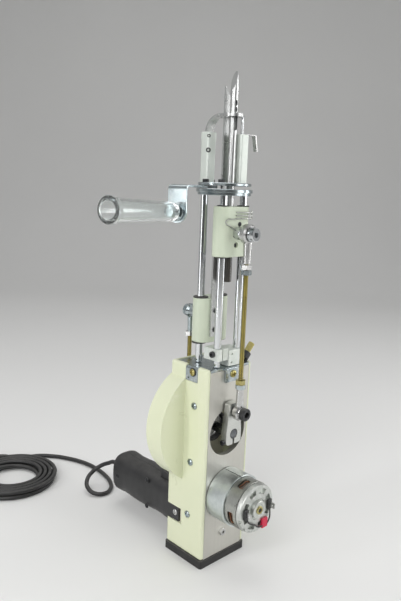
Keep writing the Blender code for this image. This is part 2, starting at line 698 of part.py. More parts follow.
def make_bracket(mat):
    """The folded steel plate on the housing, with one tab over the front and one over each side."""
    half = HALF_WIDTH - BRACKET_INSET
    obj = box("top_bracket", (-half, FRONT, BRACKET_BASE), (half, BACK - BRACKET_INSET, BRACKET_TOP), PARTS)
    half_tab = BRACKET_TAB_WIDTH / 2
    tab_base = HOUSING_TOP - BRACKET_TAB_LENGTH
    front_tab = box("bracket_front_tab", (-half_tab, FRONT - GAP - BRACKET_THICKNESS, tab_base),
                    (half_tab, FRONT - GAP, BRACKET_TOP))
    fold = box("bracket_front_fold", (-half_tab, FRONT - GAP - BRACKET_THICKNESS / 2, BRACKET_BASE),
               (half_tab, FRONT + OVERRUN, BRACKET_TOP))
    tools = [front_tab, fold]
    tab_y = FRONT + HOUSING_DEPTH * TAB_PLACE_share
    for side in (-1, 1):
        inner, outer = sorted((side * SIDE_TAB_X, side * HALF_WIDTH))
        tools.append(box(f"bracket_side_tab_{side}", (inner, tab_y - half_tab, tab_base),
                         (outer, tab_y + half_tab, BRACKET_TOP)))
        inner, outer = sorted((side * (half - OVERRUN), side * (SIDE_TAB_X + BRACKET_THICKNESS / 2)))
        tools.append(box(f"bracket_side_fold_{side}", (inner, tab_y - half_tab, BRACKET_BASE),
                         (outer, tab_y + half_tab, BRACKET_TOP)))
    join(obj, *tools)
    return finish(obj, mat)


def rod_block(name, left, right, base, height, rod_x):
    """An aluminium block with a bore for a front rod."""
    front = FRONT_ROD_PAIR_Y - ROD_BLOCK_BEFORE_ROD
    obj = box(name, (left, front, base), (right, front + ROD_BLOCK_DEPTH, base + height), PARTS, EDGE)
    bore = rod(name + "_bore", (rod_x, FRONT_ROD_PAIR_Y, base - OVERRUN),
               (rod_x, FRONT_ROD_PAIR_Y, base + height + OVERRUN), ROD_RADIUS + GAP, sides=WIRE_ROUND)
    return cut(obj, bore)


def make_clamp_block(mat):
    """The left block, held above the bracket by the rod that its slit lets it grip."""
    base = BRACKET_TOP + CLAMP_BLOCK_RISE
    obj = rod_block("rod_block_left", -ROD_X - ROD_BLOCK_BESIDE_ROD, -ROD_X * ROD_BLOCK_SPLIT_share, base,
                    CLAMP_BLOCK_HEIGHT, -ROD_X)
    slit_x = -ROD_X + CLAMP_SLIT_BESIDE_ROD
    front = FRONT_ROD_PAIR_Y - ROD_BLOCK_BEFORE_ROD
    slit = box("clamp_slit", (slit_x - CLAMP_SLIT / 2, front - OVERRUN, base - OVERRUN),
               (slit_x + CLAMP_SLIT / 2, front + ROD_BLOCK_DEPTH * CLAMP_SLIT_share,
                base + CLAMP_BLOCK_HEIGHT + OVERRUN))
    return finish(cut(obj, slit), mat)


def make_foot_block(mat):
    """The right block, which stands on the bracket."""
    left = -ROD_X * ROD_BLOCK_SPLIT_share + ROD_BLOCK_SPLIT
    return finish(rod_block("rod_block_right", left, ROD_X + ROD_BLOCK_BESIDE_ROD, BRACKET_TOP + GAP,
                            ROD_BLOCK_HEIGHT, ROD_X), mat)


def make_guide_rod(name, x, y, mat):
    """A chrome rod that stands on the bracket and ends inside the ring plate's socket."""
    end = RING_UNDERSIDE + RING_LOWER_THICKNESS
    start = BRACKET_TOP + GAP
    profile = [(0, start), (ROD_RADIUS - EDGE, start), (ROD_RADIUS, start + EDGE), (ROD_RADIUS, end - EDGE),
               (ROD_RADIUS - EDGE, end), (0, end)]
    return finish(turned(name, profile, (x, y, 0), Z_AXIS, PARTS, WIRE_ROUND), mat)


# Drive

def make_bearing_housing(mat):
    """The black flanged hub behind the window, seated on the mid plate."""
    outer = BEARING_OUTER_RADIUS + SHELL_WALL
    bore = BEARING_OUTER_RADIUS + GAP
    back = MID_PLATE_FRONT - GAP
    front = back - BEARING_WIDTH - BEARING_FLANGE_THICKNESS
    profile = [(bore, 0), (outer, 0), (outer, BEARING_WIDTH), (BEARING_FLANGE_RADIUS, BEARING_WIDTH),
               (BEARING_FLANGE_RADIUS, back - front), (bore, back - front)]
    return finish(turned("bearing_housing", profile, (0, front, CRANK_HEIGHT), Y_AXIS, PARTS), mat)


def make_bearing(mat):
    """A ball bearing as one turned solid, with the shield set in between its two races."""
    inner = SHAFT_RADIUS + GAP
    race = (BEARING_OUTER_RADIUS - inner) * BEARING_RACE_share
    back = MID_PLATE_FRONT - 2 * GAP
    outer = BEARING_OUTER_RADIUS
    profile = [(inner, 0), (inner + race, 0), (inner + race, EDGE), (outer - race, EDGE), (outer - race, 0),
               (outer, 0), (outer, BEARING_WIDTH), (inner, BEARING_WIDTH)]
    return finish(turned("front_bearing", profile, (0, back - BEARING_WIDTH, CRANK_HEIGHT), Y_AXIS, PARTS,
                         SMALL_ROUND), mat)


def make_bushing(mat):
    """The flanged bushing that carries the back end of the crank shaft."""
    inner = SHAFT_RADIUS + GAP
    outer = SHAFT_RADIUS + BUSHING_WALL
    start = REAR_PLATE_FRONT - GAP - EDGE
    profile = [(inner, 0), (outer + BUSHING_FLANGE, 0), (outer + BUSHING_FLANGE, EDGE), (outer, EDGE),
               (outer, BACK - start), (inner, BACK - start)]
    return finish(turned("rear_bushing", profile, (0, start, CRANK_HEIGHT), Y_AXIS, PARTS, SMALL_ROUND), mat)


def make_crank_shaft(mat, carrier):
    start = CRANK_ARM_FRONT
    end = REAR_CRANK_BACK
    length = end - start
    profile = [(0, 0), (SHAFT_RADIUS - EDGE, 0), (SHAFT_RADIUS, EDGE), (SHAFT_RADIUS, length - EDGE),
               (SHAFT_RADIUS - EDGE, length), (0, length)]
    obj = turned("crank_shaft", profile, (0, start, CRANK_HEIGHT), Y_AXIS, PARTS, SMALL_ROUND)
    return finish(obj, mat, carrier)


def make_crank_arm(mat, carrier):
    """The front crank: a split clamping hub that narrows to a rounded tip at the crank pin."""
    hub = arc((0, CRANK_HEIGHT), CRANK_HUB_RADIUS, 180, 360, 24)
    tip = arc((0, CRANK_PIN_HEIGHT), CRANK_TIP_RADIUS, 0, 180, 18)
    bore = circle((0, CRANK_HEIGHT), SHAFT_RADIUS + GAP, SMALL_ROUND)
    eye = circle((0, CRANK_PIN_HEIGHT), PIN_RADIUS + GAP, SMALL_ROUND)
    middle = (CRANK_ARM_FRONT + CRANK_ARM_BACK) / 2
    obj = plate("crank_arm", [hub + tip, bore, eye], CRANK_ARM_THICKNESS, upright(middle), PARTS)
    slot = box("crank_arm_slot",
               (-CRANK_SLOT / 2, CRANK_ARM_FRONT - OVERRUN, CRANK_HEIGHT - CRANK_HUB_RADIUS - OVERRUN),
               (CRANK_SLOT / 2, CRANK_ARM_BACK + OVERRUN, CRANK_HEIGHT))
    screw_height = CRANK_HEIGHT - (CRANK_HUB_RADIUS + SHAFT_RADIUS) / 2
    screw_hole = rod("crank_arm_screw_hole", (-CRANK_HUB_RADIUS - OVERRUN, middle, screw_height),
                     (CRANK_HUB_RADIUS + OVERRUN, middle, screw_height), CRANK_SLOT, sides=WIRE_ROUND)
    cut(obj, slot, screw_hole)
    return finish(obj, mat, carrier)


def make_rear_crank(mat, carrier):
    """The small crank disc behind the housing, drilled for the knife's connecting rod."""
    rim = circle((0, CRANK_HEIGHT), REAR_CRANK_RADIUS, ROUND)
    bore = circle((0, CRANK_HEIGHT), SHAFT_RADIUS + GAP, SMALL_ROUND)
    middle = (REAR_CRANK_FRONT + REAR_CRANK_BACK) / 2
    obj = plate("rear_crank", [rim, bore], REAR_CRANK_THICKNESS, upright(middle), PARTS)
    return finish(obj, mat, carrier)


def flanged_rim(radius):
    """The outer half of a belt pulley's profile, from its front face to its back face."""
    outer = radius + PULLEY_FLANGE
    return [(outer, 0), (outer, PULLEY_FLANGE_THICKNESS), (radius, PULLEY_FLANGE_THICKNESS),
            (radius, PULLEY_WIDTH - PULLEY_FLANGE_THICKNESS),
            (outer, PULLEY_WIDTH - PULLEY_FLANGE_THICKNESS), (outer, PULLEY_WIDTH)]


def make_drive_pulley(mat, carrier):
    bore = SHAFT_RADIUS + GAP
    rim = PULLEY_RADIUS - PULLEY_RIM
    web_front = (PULLEY_WIDTH - PULLEY_WEB) / 2
    web_back = web_front + PULLEY_WEB
    profile = [(bore, 0), (PULLEY_HUB_RADIUS, 0), (PULLEY_HUB_RADIUS, web_front), (rim, web_front), (rim, 0)]
    profile += flanged_rim(PULLEY_RADIUS)
    profile += [(rim, PULLEY_WIDTH), (rim, web_back), (PULLEY_HUB_RADIUS, web_back),
                (PULLEY_HUB_RADIUS, PULLEY_WIDTH), (bore, PULLEY_WIDTH)]
    obj = turned("drive_pulley", profile, (0, PULLEY_FRONT, CRANK_HEIGHT), Y_AXIS, PARTS)
    holes = []
    middle = (PULLEY_HUB_RADIUS + rim) / 2
    for i in range(PULLEY_HOLES):
        angle = math.radians(360 * i / PULLEY_HOLES)
        x = middle * math.cos(angle)
        z = CRANK_HEIGHT + middle * math.sin(angle)
        holes.append(rod(f"pulley_hole_{i}", (x, PULLEY_FRONT - OVERRUN, z), (x, PULLEY_BACK + OVERRUN, z),
                         (rim - PULLEY_HUB_RADIUS) * PULLEY_HOLE_share, sides=WIRE_ROUND))
    cut(obj, *holes)
    return finish(obj, mat, carrier)


def make_motor_pulley(mat, carrier):
    bore = MOTOR_SHAFT_RADIUS + GAP
    profile = [(bore, 0)] + flanged_rim(MOTOR_PULLEY_RADIUS) + [(bore, PULLEY_WIDTH)]
    obj = turned("motor_pulley", profile, (0, PULLEY_FRONT, MOTOR_HEIGHT), Y_AXIS, PARTS, SMALL_ROUND)
    return finish(obj, mat, carrier)


def belt_outline(extra):
    """The belt's path round both pulleys at a distance extra from them, in X and Z."""
    big = PULLEY_RADIUS + extra
    small = MOTOR_PULLEY_RADIUS + extra
    lean = math.degrees(math.asin((big - small) / (CRANK_HEIGHT - MOTOR_HEIGHT)))
    return (arc((0, CRANK_HEIGHT), big, -lean, 180 + lean, ROUND)
            + arc((0, MOTOR_HEIGHT), small, 180 + lean, 360 - lean, WIRE_ROUND))


def make_belt(mat):
    return finish(plate("belt", [belt_outline(GAP + BELT_THICKNESS), belt_outline(GAP)], BELT_WIDTH,
                        upright(PULLEY_MIDDLE), PARTS), mat)


# Motor

def make_motor_can(mat):
    """The can, with its front boss in the mid plate and the vent pockets near the end cap."""
    length = MOTOR_LENGTH - MOTOR_CAP_THICKNESS
    profile = [(0, 0), (MOTOR_RADIUS, 0), (MOTOR_RADIUS, length - EDGE), (MOTOR_RADIUS - EDGE, length),
               (MOTOR_BOSS_RADIUS, length), (MOTOR_BOSS_RADIUS, length + MOTOR_BOSS_LENGTH),
               (MOTOR_SHAFT_RADIUS + GAP, length + MOTOR_BOSS_LENGTH),
               (MOTOR_SHAFT_RADIUS + GAP, length - MOTOR_BOSS_LENGTH), (0, length - MOTOR_BOSS_LENGTH)]
    back = MID_PLATE_FRONT - GAP
    obj = turned("motor_can", profile, (0, back - length, MOTOR_HEIGHT), Y_AXIS, PARTS)
    vents = []
    start = back - length + MOTOR_VENT_LENGTH * VENT_PLACE_share
    for i, angle in enumerate((0, 90, 180, 270)):
        turn = Matrix.Translation((0, 0, MOTOR_HEIGHT)) @ Matrix.Rotation(math.radians(angle + 45), 4, "Y")
        vent = box(f"motor_vent_{i}", (-MOTOR_VENT_WIDTH / 2, start, MOTOR_RADIUS - MOTOR_VENT_DEPTH),
                   (MOTOR_VENT_WIDTH / 2, start + MOTOR_VENT_LENGTH, MOTOR_RADIUS + OVERRUN))
        vent.data.transform(turn)
        vents.append(vent)
    cut(obj, *vents)
    return finish(obj, mat)


def make_flux_ring(mat):
    """The rolled steel ring round the can, open along its seam."""
    inner = MOTOR_RADIUS + GAP
    outer = inner + FLUX_RING_WALL
    start = FRONT - GAP - FLUX_RING_LENGTH
    profile = [(inner, 0), (outer, 0), (outer, FLUX_RING_LENGTH), (inner, FLUX_RING_LENGTH)]
    obj = turned("motor_flux_ring", profile, (0, start, MOTOR_HEIGHT), Y_AXIS, PARTS)
    seam = box("flux_seam", (-FLUX_RING_SEAM / 2, start - OVERRUN, inner - OVERRUN),
               (FLUX_RING_SEAM / 2, FRONT + OVERRUN, outer + OVERRUN))
    seam.data.transform(Matrix.Translation((0, 0, MOTOR_HEIGHT)) @ Matrix.Rotation(FLUX_SEAM_TURN, 4, "Y"))
    cut(obj, seam)
    return finish(obj, mat)


def make_motor_cap(mat):
    """The end cap with its bearing boss and the two flat terminals."""
    can_end = MID_PLATE_FRONT - GAP - (MOTOR_LENGTH - MOTOR_CAP_THICKNESS)
    inner = MOTOR_SHAFT_RADIUS + GAP
    depth = MOTOR_CAP_THICKNESS + MOTOR_CAP_BOSS_LENGTH
    profile = [(0, 0), (MOTOR_RADIUS - EDGE, 0), (MOTOR_RADIUS - EDGE, MOTOR_CAP_THICKNESS - EDGE),
               (MOTOR_RADIUS - 2 * EDGE, MOTOR_CAP_THICKNESS), (MOTOR_CAP_BOSS_RADIUS, MOTOR_CAP_THICKNESS),
               (MOTOR_CAP_BOSS_RADIUS - EDGE, depth), (inner + EDGE, depth),
               (inner + EDGE, MOTOR_CAP_THICKNESS), (0, MOTOR_CAP_THICKNESS)]
    obj = turned("motor_end_cap", profile, (0, can_end - GAP, MOTOR_HEIGHT), -Y_AXIS, PARTS)
    face = can_end - GAP - MOTOR_CAP_THICKNESS
    tabs = []
    low = MOTOR_HEIGHT - TERMINAL_WIDTH / 2
    for side in (-1, 1):
        left = side * MOTOR_RADIUS * TERMINAL_PLACE_share - TERMINAL_THICKNESS / 2
        tabs.append(box(f"motor_terminal_{side}", (left, face - TERMINAL_LENGTH, low),
                        (left + TERMINAL_THICKNESS, face + EDGE, low + TERMINAL_WIDTH)))
    join(obj, *tabs)
    return finish(obj, mat)


def make_motor_shaft(mat, carrier):
    start = MID_PLATE_FRONT - MOTOR_BOSS_LENGTH + GAP
    end = PULLEY_BACK + EDGE
    obj = rod("motor_shaft", (0, start, MOTOR_HEIGHT), (0, end, MOTOR_HEIGHT), MOTOR_SHAFT_RADIUS, PARTS,
              sides=WIRE_ROUND)
    return finish(obj, mat, carrier)


# Ring plate, posts, presser foot and yarn hook

def needle_slot(width):
    """The slot that the needle and the knife pass through."""
    front = NEEDLE_Y - width / 2
    back = KNIFE_Y + width / 2
    return tall_stadium(width, back - front, (0, (front + back) / 2))


def make_ring_plate(mat):
    """The stepped disc on the ends of the rods."""
    profile = [(0, 0), (RING_RADIUS - RING_STEP, 0), (RING_RADIUS - RING_STEP, RING_LOWER_THICKNESS),
               (RING_RADIUS, RING_LOWER_THICKNESS), (RING_RADIUS, RING_MAIN_TOP - RING_UNDERSIDE),
               (0, RING_MAIN_TOP - RING_UNDERSIDE)]
    obj = turned("ring_plate", profile, (0, ROD_CENTRE_Y, RING_UNDERSIDE), Z_AXIS, PARTS)
    slot = plate("ring_slot", [needle_slot(RING_SLOT_WIDTH)], 4 * RING_MAIN_THICKNESS,
                 Matrix.Translation((0, 0, RING_MAIN_TOP)))
    tools = [slot]
    socket_end = RING_UNDERSIDE + RING_LOWER_THICKNESS + GAP
    for i, (x, y) in enumerate(rod_places()):
        tools.append(rod(f"ring_socket_{i}", (x, y, RING_UNDERSIDE - OVERRUN), (x, y, socket_end),
                         ROD_RADIUS + GAP, sides=WIRE_ROUND))
    cut(obj, *tools)
    return finish(obj, mat)


def make_ring_cap(mat):
    """The thin upper disc, which clamps the handle's bracket down."""
    profile = [(0, 0), (RING_RADIUS - RING_STEP, 0), (RING_RADIUS - RING_STEP, RING_CAP_THICKNESS),
               (0, RING_CAP_THICKNESS)]
    obj = turned("ring_cap", profile, (0, ROD_CENTRE_Y, RING_CAP_BASE), Z_AXIS, PARTS)
    slot = plate("cap_slot", [needle_slot(RING_SLOT_WIDTH)], 4 * RING_CAP_THICKNESS,
                 Matrix.Translation((0, 0, RING_CAP_TOP)))
    cut(obj, slot)
    return finish(obj, mat)


def rod_places():
    return [(x, y) for y in (FRONT_ROD_PAIR_Y, REAR_ROD_PAIR_Y) for x in (-ROD_X, ROD_X)]


def make_post(name, x, y, side, height, mat, head=0.0):
    """A square post on the ring cap; a head wider than the post clamps the presser foot."""
    half = side / 2
    obj = box(name, (x - half, y - half, POST_BASE), (x + half, y + half, POST_BASE + height), PARTS, EDGE)
    if head > 0:
        wide = half + POST_HEAD_OVERHANG
        top = POST_BASE + height
        join(obj, box(name + "_head", (x - wide, y - wide, top - head), (x + wide, y + wide, top + EDGE)))
    return finish(obj, mat)


def make_presser_foot(mat):
    """The eye round needle and knife, with an arched strip to the left post and a rod to the right one."""
    wide = RING_SLOT_WIDTH + 2 * FOOT_EYE_WALL
    obj = plate("presser_foot", [needle_slot(wide), needle_slot(RING_SLOT_WIDTH)], FOOT_EYE_THICKNESS,
                Matrix.Translation((0, 0, FOOT_EYE_HEIGHT)), PARTS)
    left_top = POST_BASE + LEFT_POST_HEIGHT + EDGE + GAP
    strip = foot_strip(Vector((LEFT_POST_X, LEFT_POST_Y, left_top)), Vector((0, KNIFE_Y, FOOT_EYE_HEIGHT)))
    eye_side = RING_SLOT_WIDTH / 2 + FOOT_EYE_WALL / 2
    right_top = POST_BASE + RIGHT_POST_HEIGHT + GAP
    brace = foot_wire("foot_brace", (RIGHT_POST_X, RIGHT_POST_Y, right_top),
                      (eye_side, NEEDLE_Y, FOOT_EYE_HEIGHT))
    join(obj, strip, brace)
    cut(obj, plate("foot_passage", [needle_slot(RING_SLOT_WIDTH)], 2 * POST_SIDE,
                   Matrix.Translation((0, 0, FOOT_EYE_HEIGHT))))
    return finish(obj, mat)


def foot_strip(start, middle):
    """A flat strip that stands on a post's top and turns over into the presser foot's eye."""
    along = Vector((middle.x - start.x, middle.y - start.y, 0))
    reach = along.length - RING_SLOT_WIDTH / 2
    rise = middle.z - start.z
    outline = []
    for half, order in ((FOOT_STRIP_THICKNESS / 2, 1), (-FOOT_STRIP_THICKNESS / 2, -1)):
        bend = [(reach - (reach + half) * math.cos(angle), (rise + half) * math.sin(angle))
                for angle in (math.pi / 2 * step / SMALL_ROUND for step in range(SMALL_ROUND + 1))]
        outline += bend[::order]
    place = Matrix.Translation(start) @ along.to_track_quat("X", "Z").to_matrix().to_4x4() @ upright(0)
    return plate("foot_strip", [outline], FOOT_STRIP_WIDTH, place)


def foot_wire(name, start, end):
    """A bent bar that rises from a post's top and turns over into the presser foot's eye."""
    start, end = Vector(start), Vector(end)
    rise = end.z - start.z
    points = [start]
    for along, up in FOOT_BEND_shares:
        level = start.lerp(end, along)
        points.append(Vector((level.x, level.y, start.z + rise * up)))
    route, _ = smooth_route(points, FOOT_ROD_RADIUS)
    return tube(name, route, FOOT_ROD_RADIUS)


def make_yarn_hook(mat):
    """The thin strip that leaves the right post and bends down."""
    base = POST_BASE + RIGHT_POST_HEIGHT * HOOK_PLACE_share
    low = base - HOOK_DROP / 2
    high = base + HOOK_DROP / 2
    start = RIGHT_POST_X + POST_SIDE / 2 + GAP
    bend = start + HOOK_REACH
    outline = [(start, base), (start + HOOK_THICKNESS, base), (start + HOOK_THICKNESS, high),
               (bend - HOOK_THICKNESS, high - HOOK_THICKNESS), (bend + HOOK_THICKNESS, low),
               (bend + 2 * HOOK_THICKNESS, low), (bend, high), (start, high + HOOK_THICKNESS)]
    return finish(plate("yarn_hook", [outline], HOOK_WIDTH, upright(RIGHT_POST_Y), PARTS), mat)


# Side handle

def arm_frame():
    """The handle's own frame: +X runs from the handle towards the ring plate, z is height."""
    return Matrix.Translation((ARM_PIVOT_X, ARM_PIVOT_Y, 0)) @ Matrix.Rotation(ARM_TURN, 4, "Z")


def make_handle_bracket(mat):
    """A bent strip: flat between the ring's discs, then down with a round end that carries the bolt."""
    bend = (ARM_THICKNESS + ARM_BEND_RADIUS, ARM_BASE - ARM_BEND_RADIUS)
    inner = arc(bend, ARM_BEND_RADIUS, 180, 90, 6)
    outer = arc(bend, ARM_BEND_RADIUS + ARM_THICKNESS, 90, 180, 8)
    foot = HANDLE_AXIS_HEIGHT - ARM_WIDTH / 2
    profile = [(ARM_THICKNESS, foot), *inner, (ARM_LENGTH, ARM_BASE), (ARM_LENGTH, ARM_TOP), *outer,
               (0, foot)]
    obj = plate("handle_bracket", [profile], ARM_WIDTH, upright(0), PARTS)
    round_end = plate("bracket_round_end",
                      [arc((0, HANDLE_AXIS_HEIGHT), ARM_WIDTH / 2, 180, 360, 20)
                       + [(ARM_WIDTH / 2, ARM_TOP + OVERRUN), (-ARM_WIDTH / 2, ARM_TOP + OVERRUN)]],
                      2 * ARM_LENGTH + 2 * OVERRUN, Matrix.Translation((0, 0, 0)))
    turn = Matrix.Rotation(math.radians(90), 4, "Z") @ Matrix.Rotation(math.radians(90), 4, "X")
    round_end.data.transform(turn)
    bolt_hole = rod("bracket_bolt_hole", (-OVERRUN, 0, HANDLE_AXIS_HEIGHT),
                    (ARM_THICKNESS + OVERRUN, 0, HANDLE_AXIS_HEIGHT), HANDLE_BOLT_RADIUS + GAP,
                    sides=WIRE_ROUND)
    for tool in (obj, round_end, bolt_hole):
        tool.data.transform(arm_frame())
    boolean(obj, [round_end], "INTERSECT")
    cut(obj, bolt_hole)
    return finish(obj, mat)


def handle_frame():
    """The frame of the bolt and the clear handle: the arm's, tilted up a little towards the open end."""
    centre = Matrix.Translation((0, 0, HANDLE_AXIS_HEIGHT))
    return arm_frame() @ centre @ Matrix.Rotation(HANDLE_RISE, 4, "Y") @ centre.inverted()


def handle_start():
    return -GAP - HANDLE_WASHER_THICKNESS - HANDLE_NUT_THICKNESS - GAP


def make_side_handle(mat):
    """The clear tube: closed at the bracket but for the bolt hole, widening to an open flanged end."""
    length = HANDLE_LENGTH
    mouth = length - HANDLE_FLANGE_THICKNESS
    bore_start = HANDLE_INNER_RADIUS - HANDLE_WALL
    bore_end = HANDLE_OUTER_RADIUS - HANDLE_WALL
    bolt = HANDLE_BOLT_RADIUS + GAP
    floor = 2 * HANDLE_WALL
    profile = [(bolt, 0), (HANDLE_INNER_RADIUS - EDGE, 0), (HANDLE_INNER_RADIUS, EDGE),
               (HANDLE_OUTER_RADIUS, mouth - HANDLE_FLANGE_THICKNESS), (HANDLE_FLANGE_RADIUS, mouth),
               (HANDLE_FLANGE_RADIUS, length - EDGE), (HANDLE_FLANGE_RADIUS - EDGE, length),
               (bore_end, length), (bore_start, floor), (bolt, floor)]
    start = handle_frame() @ Vector((handle_start(), 0, HANDLE_AXIS_HEIGHT))
    direction = handle_frame().to_3x3() @ -X_AXIS
    return finish(turned("side_handle", profile, start, direction, PARTS, SMALL_ROUND), mat)


def make_handle_bolt(mat):
    """The bolt through the strap, with its head inside the ring's side and its nuts towards the handle."""
    frame = handle_frame()
    head = ARM_THICKNESS + GAP
    washer = -GAP - HANDLE_WASHER_THICKNESS
    mouth = handle_start()
    inside = mouth - 2 * HANDLE_WALL - GAP

    def bar(name, start, end, radius, collection=None, sides=WIRE_ROUND):
        first, last = (frame @ Vector((along, 0, HANDLE_AXIS_HEIGHT)) for along in (start, end))
        return rod(name, first, last, radius, collection, sides=sides)

    obj = bar("handle_bolt", head + HANDLE_NUT_THICKNESS, mouth - 3 * HANDLE_WALL, HANDLE_BOLT_RADIUS, PARTS)
    join(obj, bar("handle_bolt_head", head, head + HANDLE_NUT_THICKNESS, HANDLE_NUT_RADIUS, sides=6),
         bar("handle_washer", -GAP, washer, HANDLE_WASHER_RADIUS, sides=SMALL_ROUND),
         bar("handle_nut", washer + HANDLE_WASHER_THICKNESS / 2, mouth + GAP, HANDLE_NUT_RADIUS, sides=6),
         bar("handle_inner_nut", inside, inside - HANDLE_WALL, HANDLE_NUT_RADIUS, sides=6))
    return finish(obj, mat)


# Sliders, needle and knife

def make_needle_slider(mat, carrier):
    """The nylon block on the front rods, round at both ends, with the needle's socket from above."""
    middle = (SLIDER_BASE + SLIDER_TOP) / 2
    holes = [circle((side * ROD_X, FRONT_ROD_PAIR_Y), ROD_RADIUS + GAP, WIRE_ROUND) for side in (-1, 1)]
    needle_hole = circle((0, NEEDLE_Y), NEEDLE_RADIUS + GAP, WIRE_ROUND)
    outline = stadium(SLIDER_WIDTH, SLIDER_DEPTH, (0, SLIDER_CENTRE_Y))
    return finish(plate("needle_slider", [outline, *holes, needle_hole], SLIDER_HEIGHT,
                        Matrix.Translation((0, 0, middle)), PARTS), mat, carrier)


def make_needle(mat, carrier):
    """The hollow needle: a tube ground to a slanted point, with its yarn window facing the front."""
    base = SLIDER_BASE + NEEDLE_SOCKET
    bore = NEEDLE_RADIUS - NEEDLE_WALL
    profile = [(bore, 0), (NEEDLE_RADIUS, 0), (NEEDLE_RADIUS, NEEDLE_TIP - base), (bore, NEEDLE_TIP - base)]
    obj = turned("needle", profile, (0, NEEDLE_Y, base), Z_AXIS, PARTS, SMALL_ROUND)
    bevel = plate("needle_bevel", [[(-NEEDLE_RADIUS - OVERRUN, NEEDLE_TIP - NEEDLE_BEVEL_HEIGHT),
                                    (-NEEDLE_RADIUS - OVERRUN, NEEDLE_TIP + OVERRUN),
                                    (NEEDLE_RADIUS, NEEDLE_TIP + OVERRUN),
                                    (NEEDLE_RADIUS - NEEDLE_WALL, NEEDLE_TIP),
                                    (-NEEDLE_RADIUS, NEEDLE_TIP - NEEDLE_BEVEL_HEIGHT)]],
                  4 * NEEDLE_RADIUS, upright(NEEDLE_Y))
    eye_middle = NEEDLE_TIP - NEEDLE_EYE_BELOW_TIP - NEEDLE_EYE_LENGTH / 2
    eye = plate("needle_eye", [tall_stadium(NEEDLE_EYE_WIDTH, NEEDLE_EYE_LENGTH, (0, eye_middle))],
                2 * NEEDLE_RADIUS, upright(NEEDLE_Y - NEEDLE_RADIUS))
    cut(obj, bevel, eye)
    return finish(obj, mat, carrier)


def make_yarn_tube(mat, carrier):
    """The hose under the needle, pushed up into the slider's socket."""
    top = SLIDER_BASE + NEEDLE_SOCKET - GAP
    neck = NEEDLE_RADIUS
    start = SLIDER_BASE - YARN_TUBE_LENGTH
    profile = [(YARN_TUBE_BORE, 0), (YARN_TUBE_RADIUS, 0), (YARN_TUBE_RADIUS, YARN_TUBE_LENGTH - GAP),
               (neck, YARN_TUBE_LENGTH - GAP), (neck, top - start), (YARN_TUBE_BORE, top - start)]
    return finish(turned("yarn_tube", profile, (0, NEEDLE_Y, start), Z_AXIS, PARTS, WIRE_ROUND), mat, carrier)


def stud_profile(seat, eye, head):
    """A shouldered stud: seat long to the eye, through the eye, then a round head; starts at its seat."""
    return [(0, 0), (PIN_HEAD_RADIUS, 0), (PIN_HEAD_RADIUS - EDGE, seat), (PIN_RADIUS, seat),
            (PIN_RADIUS, seat + eye), (PIN_HEAD_RADIUS, seat + eye), (PIN_HEAD_RADIUS, seat + eye + head),
            (0, seat + eye + head)]


def make_needle_stud(mat, carrier):
    seat = SLIDER_FRONT - GAP - (FRONT_ROD_Y + EYE_THICKNESS / 2 + GAP)
    return finish(turned("needle_slider_stud", stud_profile(seat, EYE_THICKNESS + 2 * GAP, PIN_HEAD_LENGTH),
                         (0, SLIDER_FRONT - GAP, FRONT_PIN_HEIGHT), -Y_AXIS, PARTS, WIRE_ROUND), mat, carrier)


def make_knife_slider(mat, carrier):
    middle = (KNIFE_SLIDER_BASE + KNIFE_SLIDER_TOP) / 2
    holes = [circle((side * ROD_X, REAR_ROD_PAIR_Y), ROD_RADIUS + GAP, WIRE_ROUND) for side in (-1, 1)]
    outline = stadium(SLIDER_WIDTH, KNIFE_SLIDER_DEPTH, (0, KNIFE_SLIDER_CENTRE_Y))
    return finish(plate("knife_slider", [outline, *holes], KNIFE_SLIDER_HEIGHT,
                        Matrix.Translation((0, 0, middle)), PARTS), mat, carrier)


def make_knife_bar(mat, carrier):
    """A flat steel bar: a wide carrier on the slider that narrows to the blade with its curved tip."""
    half = KNIFE_WIDTH / 2
    left = half - KNIFE_CARRIER_WIDTH
    tip = []
    for i in range(KNIFE_TIP_STEPS + 1):
        share = i / KNIFE_TIP_STEPS
        tip.append((half - KNIFE_WIDTH * share, KNIFE_TIP - KNIFE_BEVEL_HEIGHT * (1 - share) ** 2))
    outline = [(left, KNIFE_CARRIER_BASE), (half, KNIFE_CARRIER_BASE)] + tip
    outline += [(-half, KNIFE_CARRIER_TOP + KNIFE_WIDTH), (left, KNIFE_CARRIER_TOP)]
    return finish(plate("knife_bar", [outline], KNIFE_THICKNESS, upright(KNIFE_Y), PARTS), mat, carrier)


def make_knife_stud(mat, carrier):
    seat = REAR_ROD_Y - REAR_EYE_THICKNESS / 2 - GAP - (KNIFE_SLIDER_BACK + GAP)
    profile = stud_profile(seat, REAR_EYE_THICKNESS + 2 * GAP, PIN_HEAD_LENGTH / 2)
    start = (0, KNIFE_SLIDER_BACK + GAP, REAR_PIN_HEIGHT)
    return finish(turned("knife_slider_stud", profile, start, Y_AXIS, PARTS, WIRE_ROUND), mat, carrier)


# Connecting rods

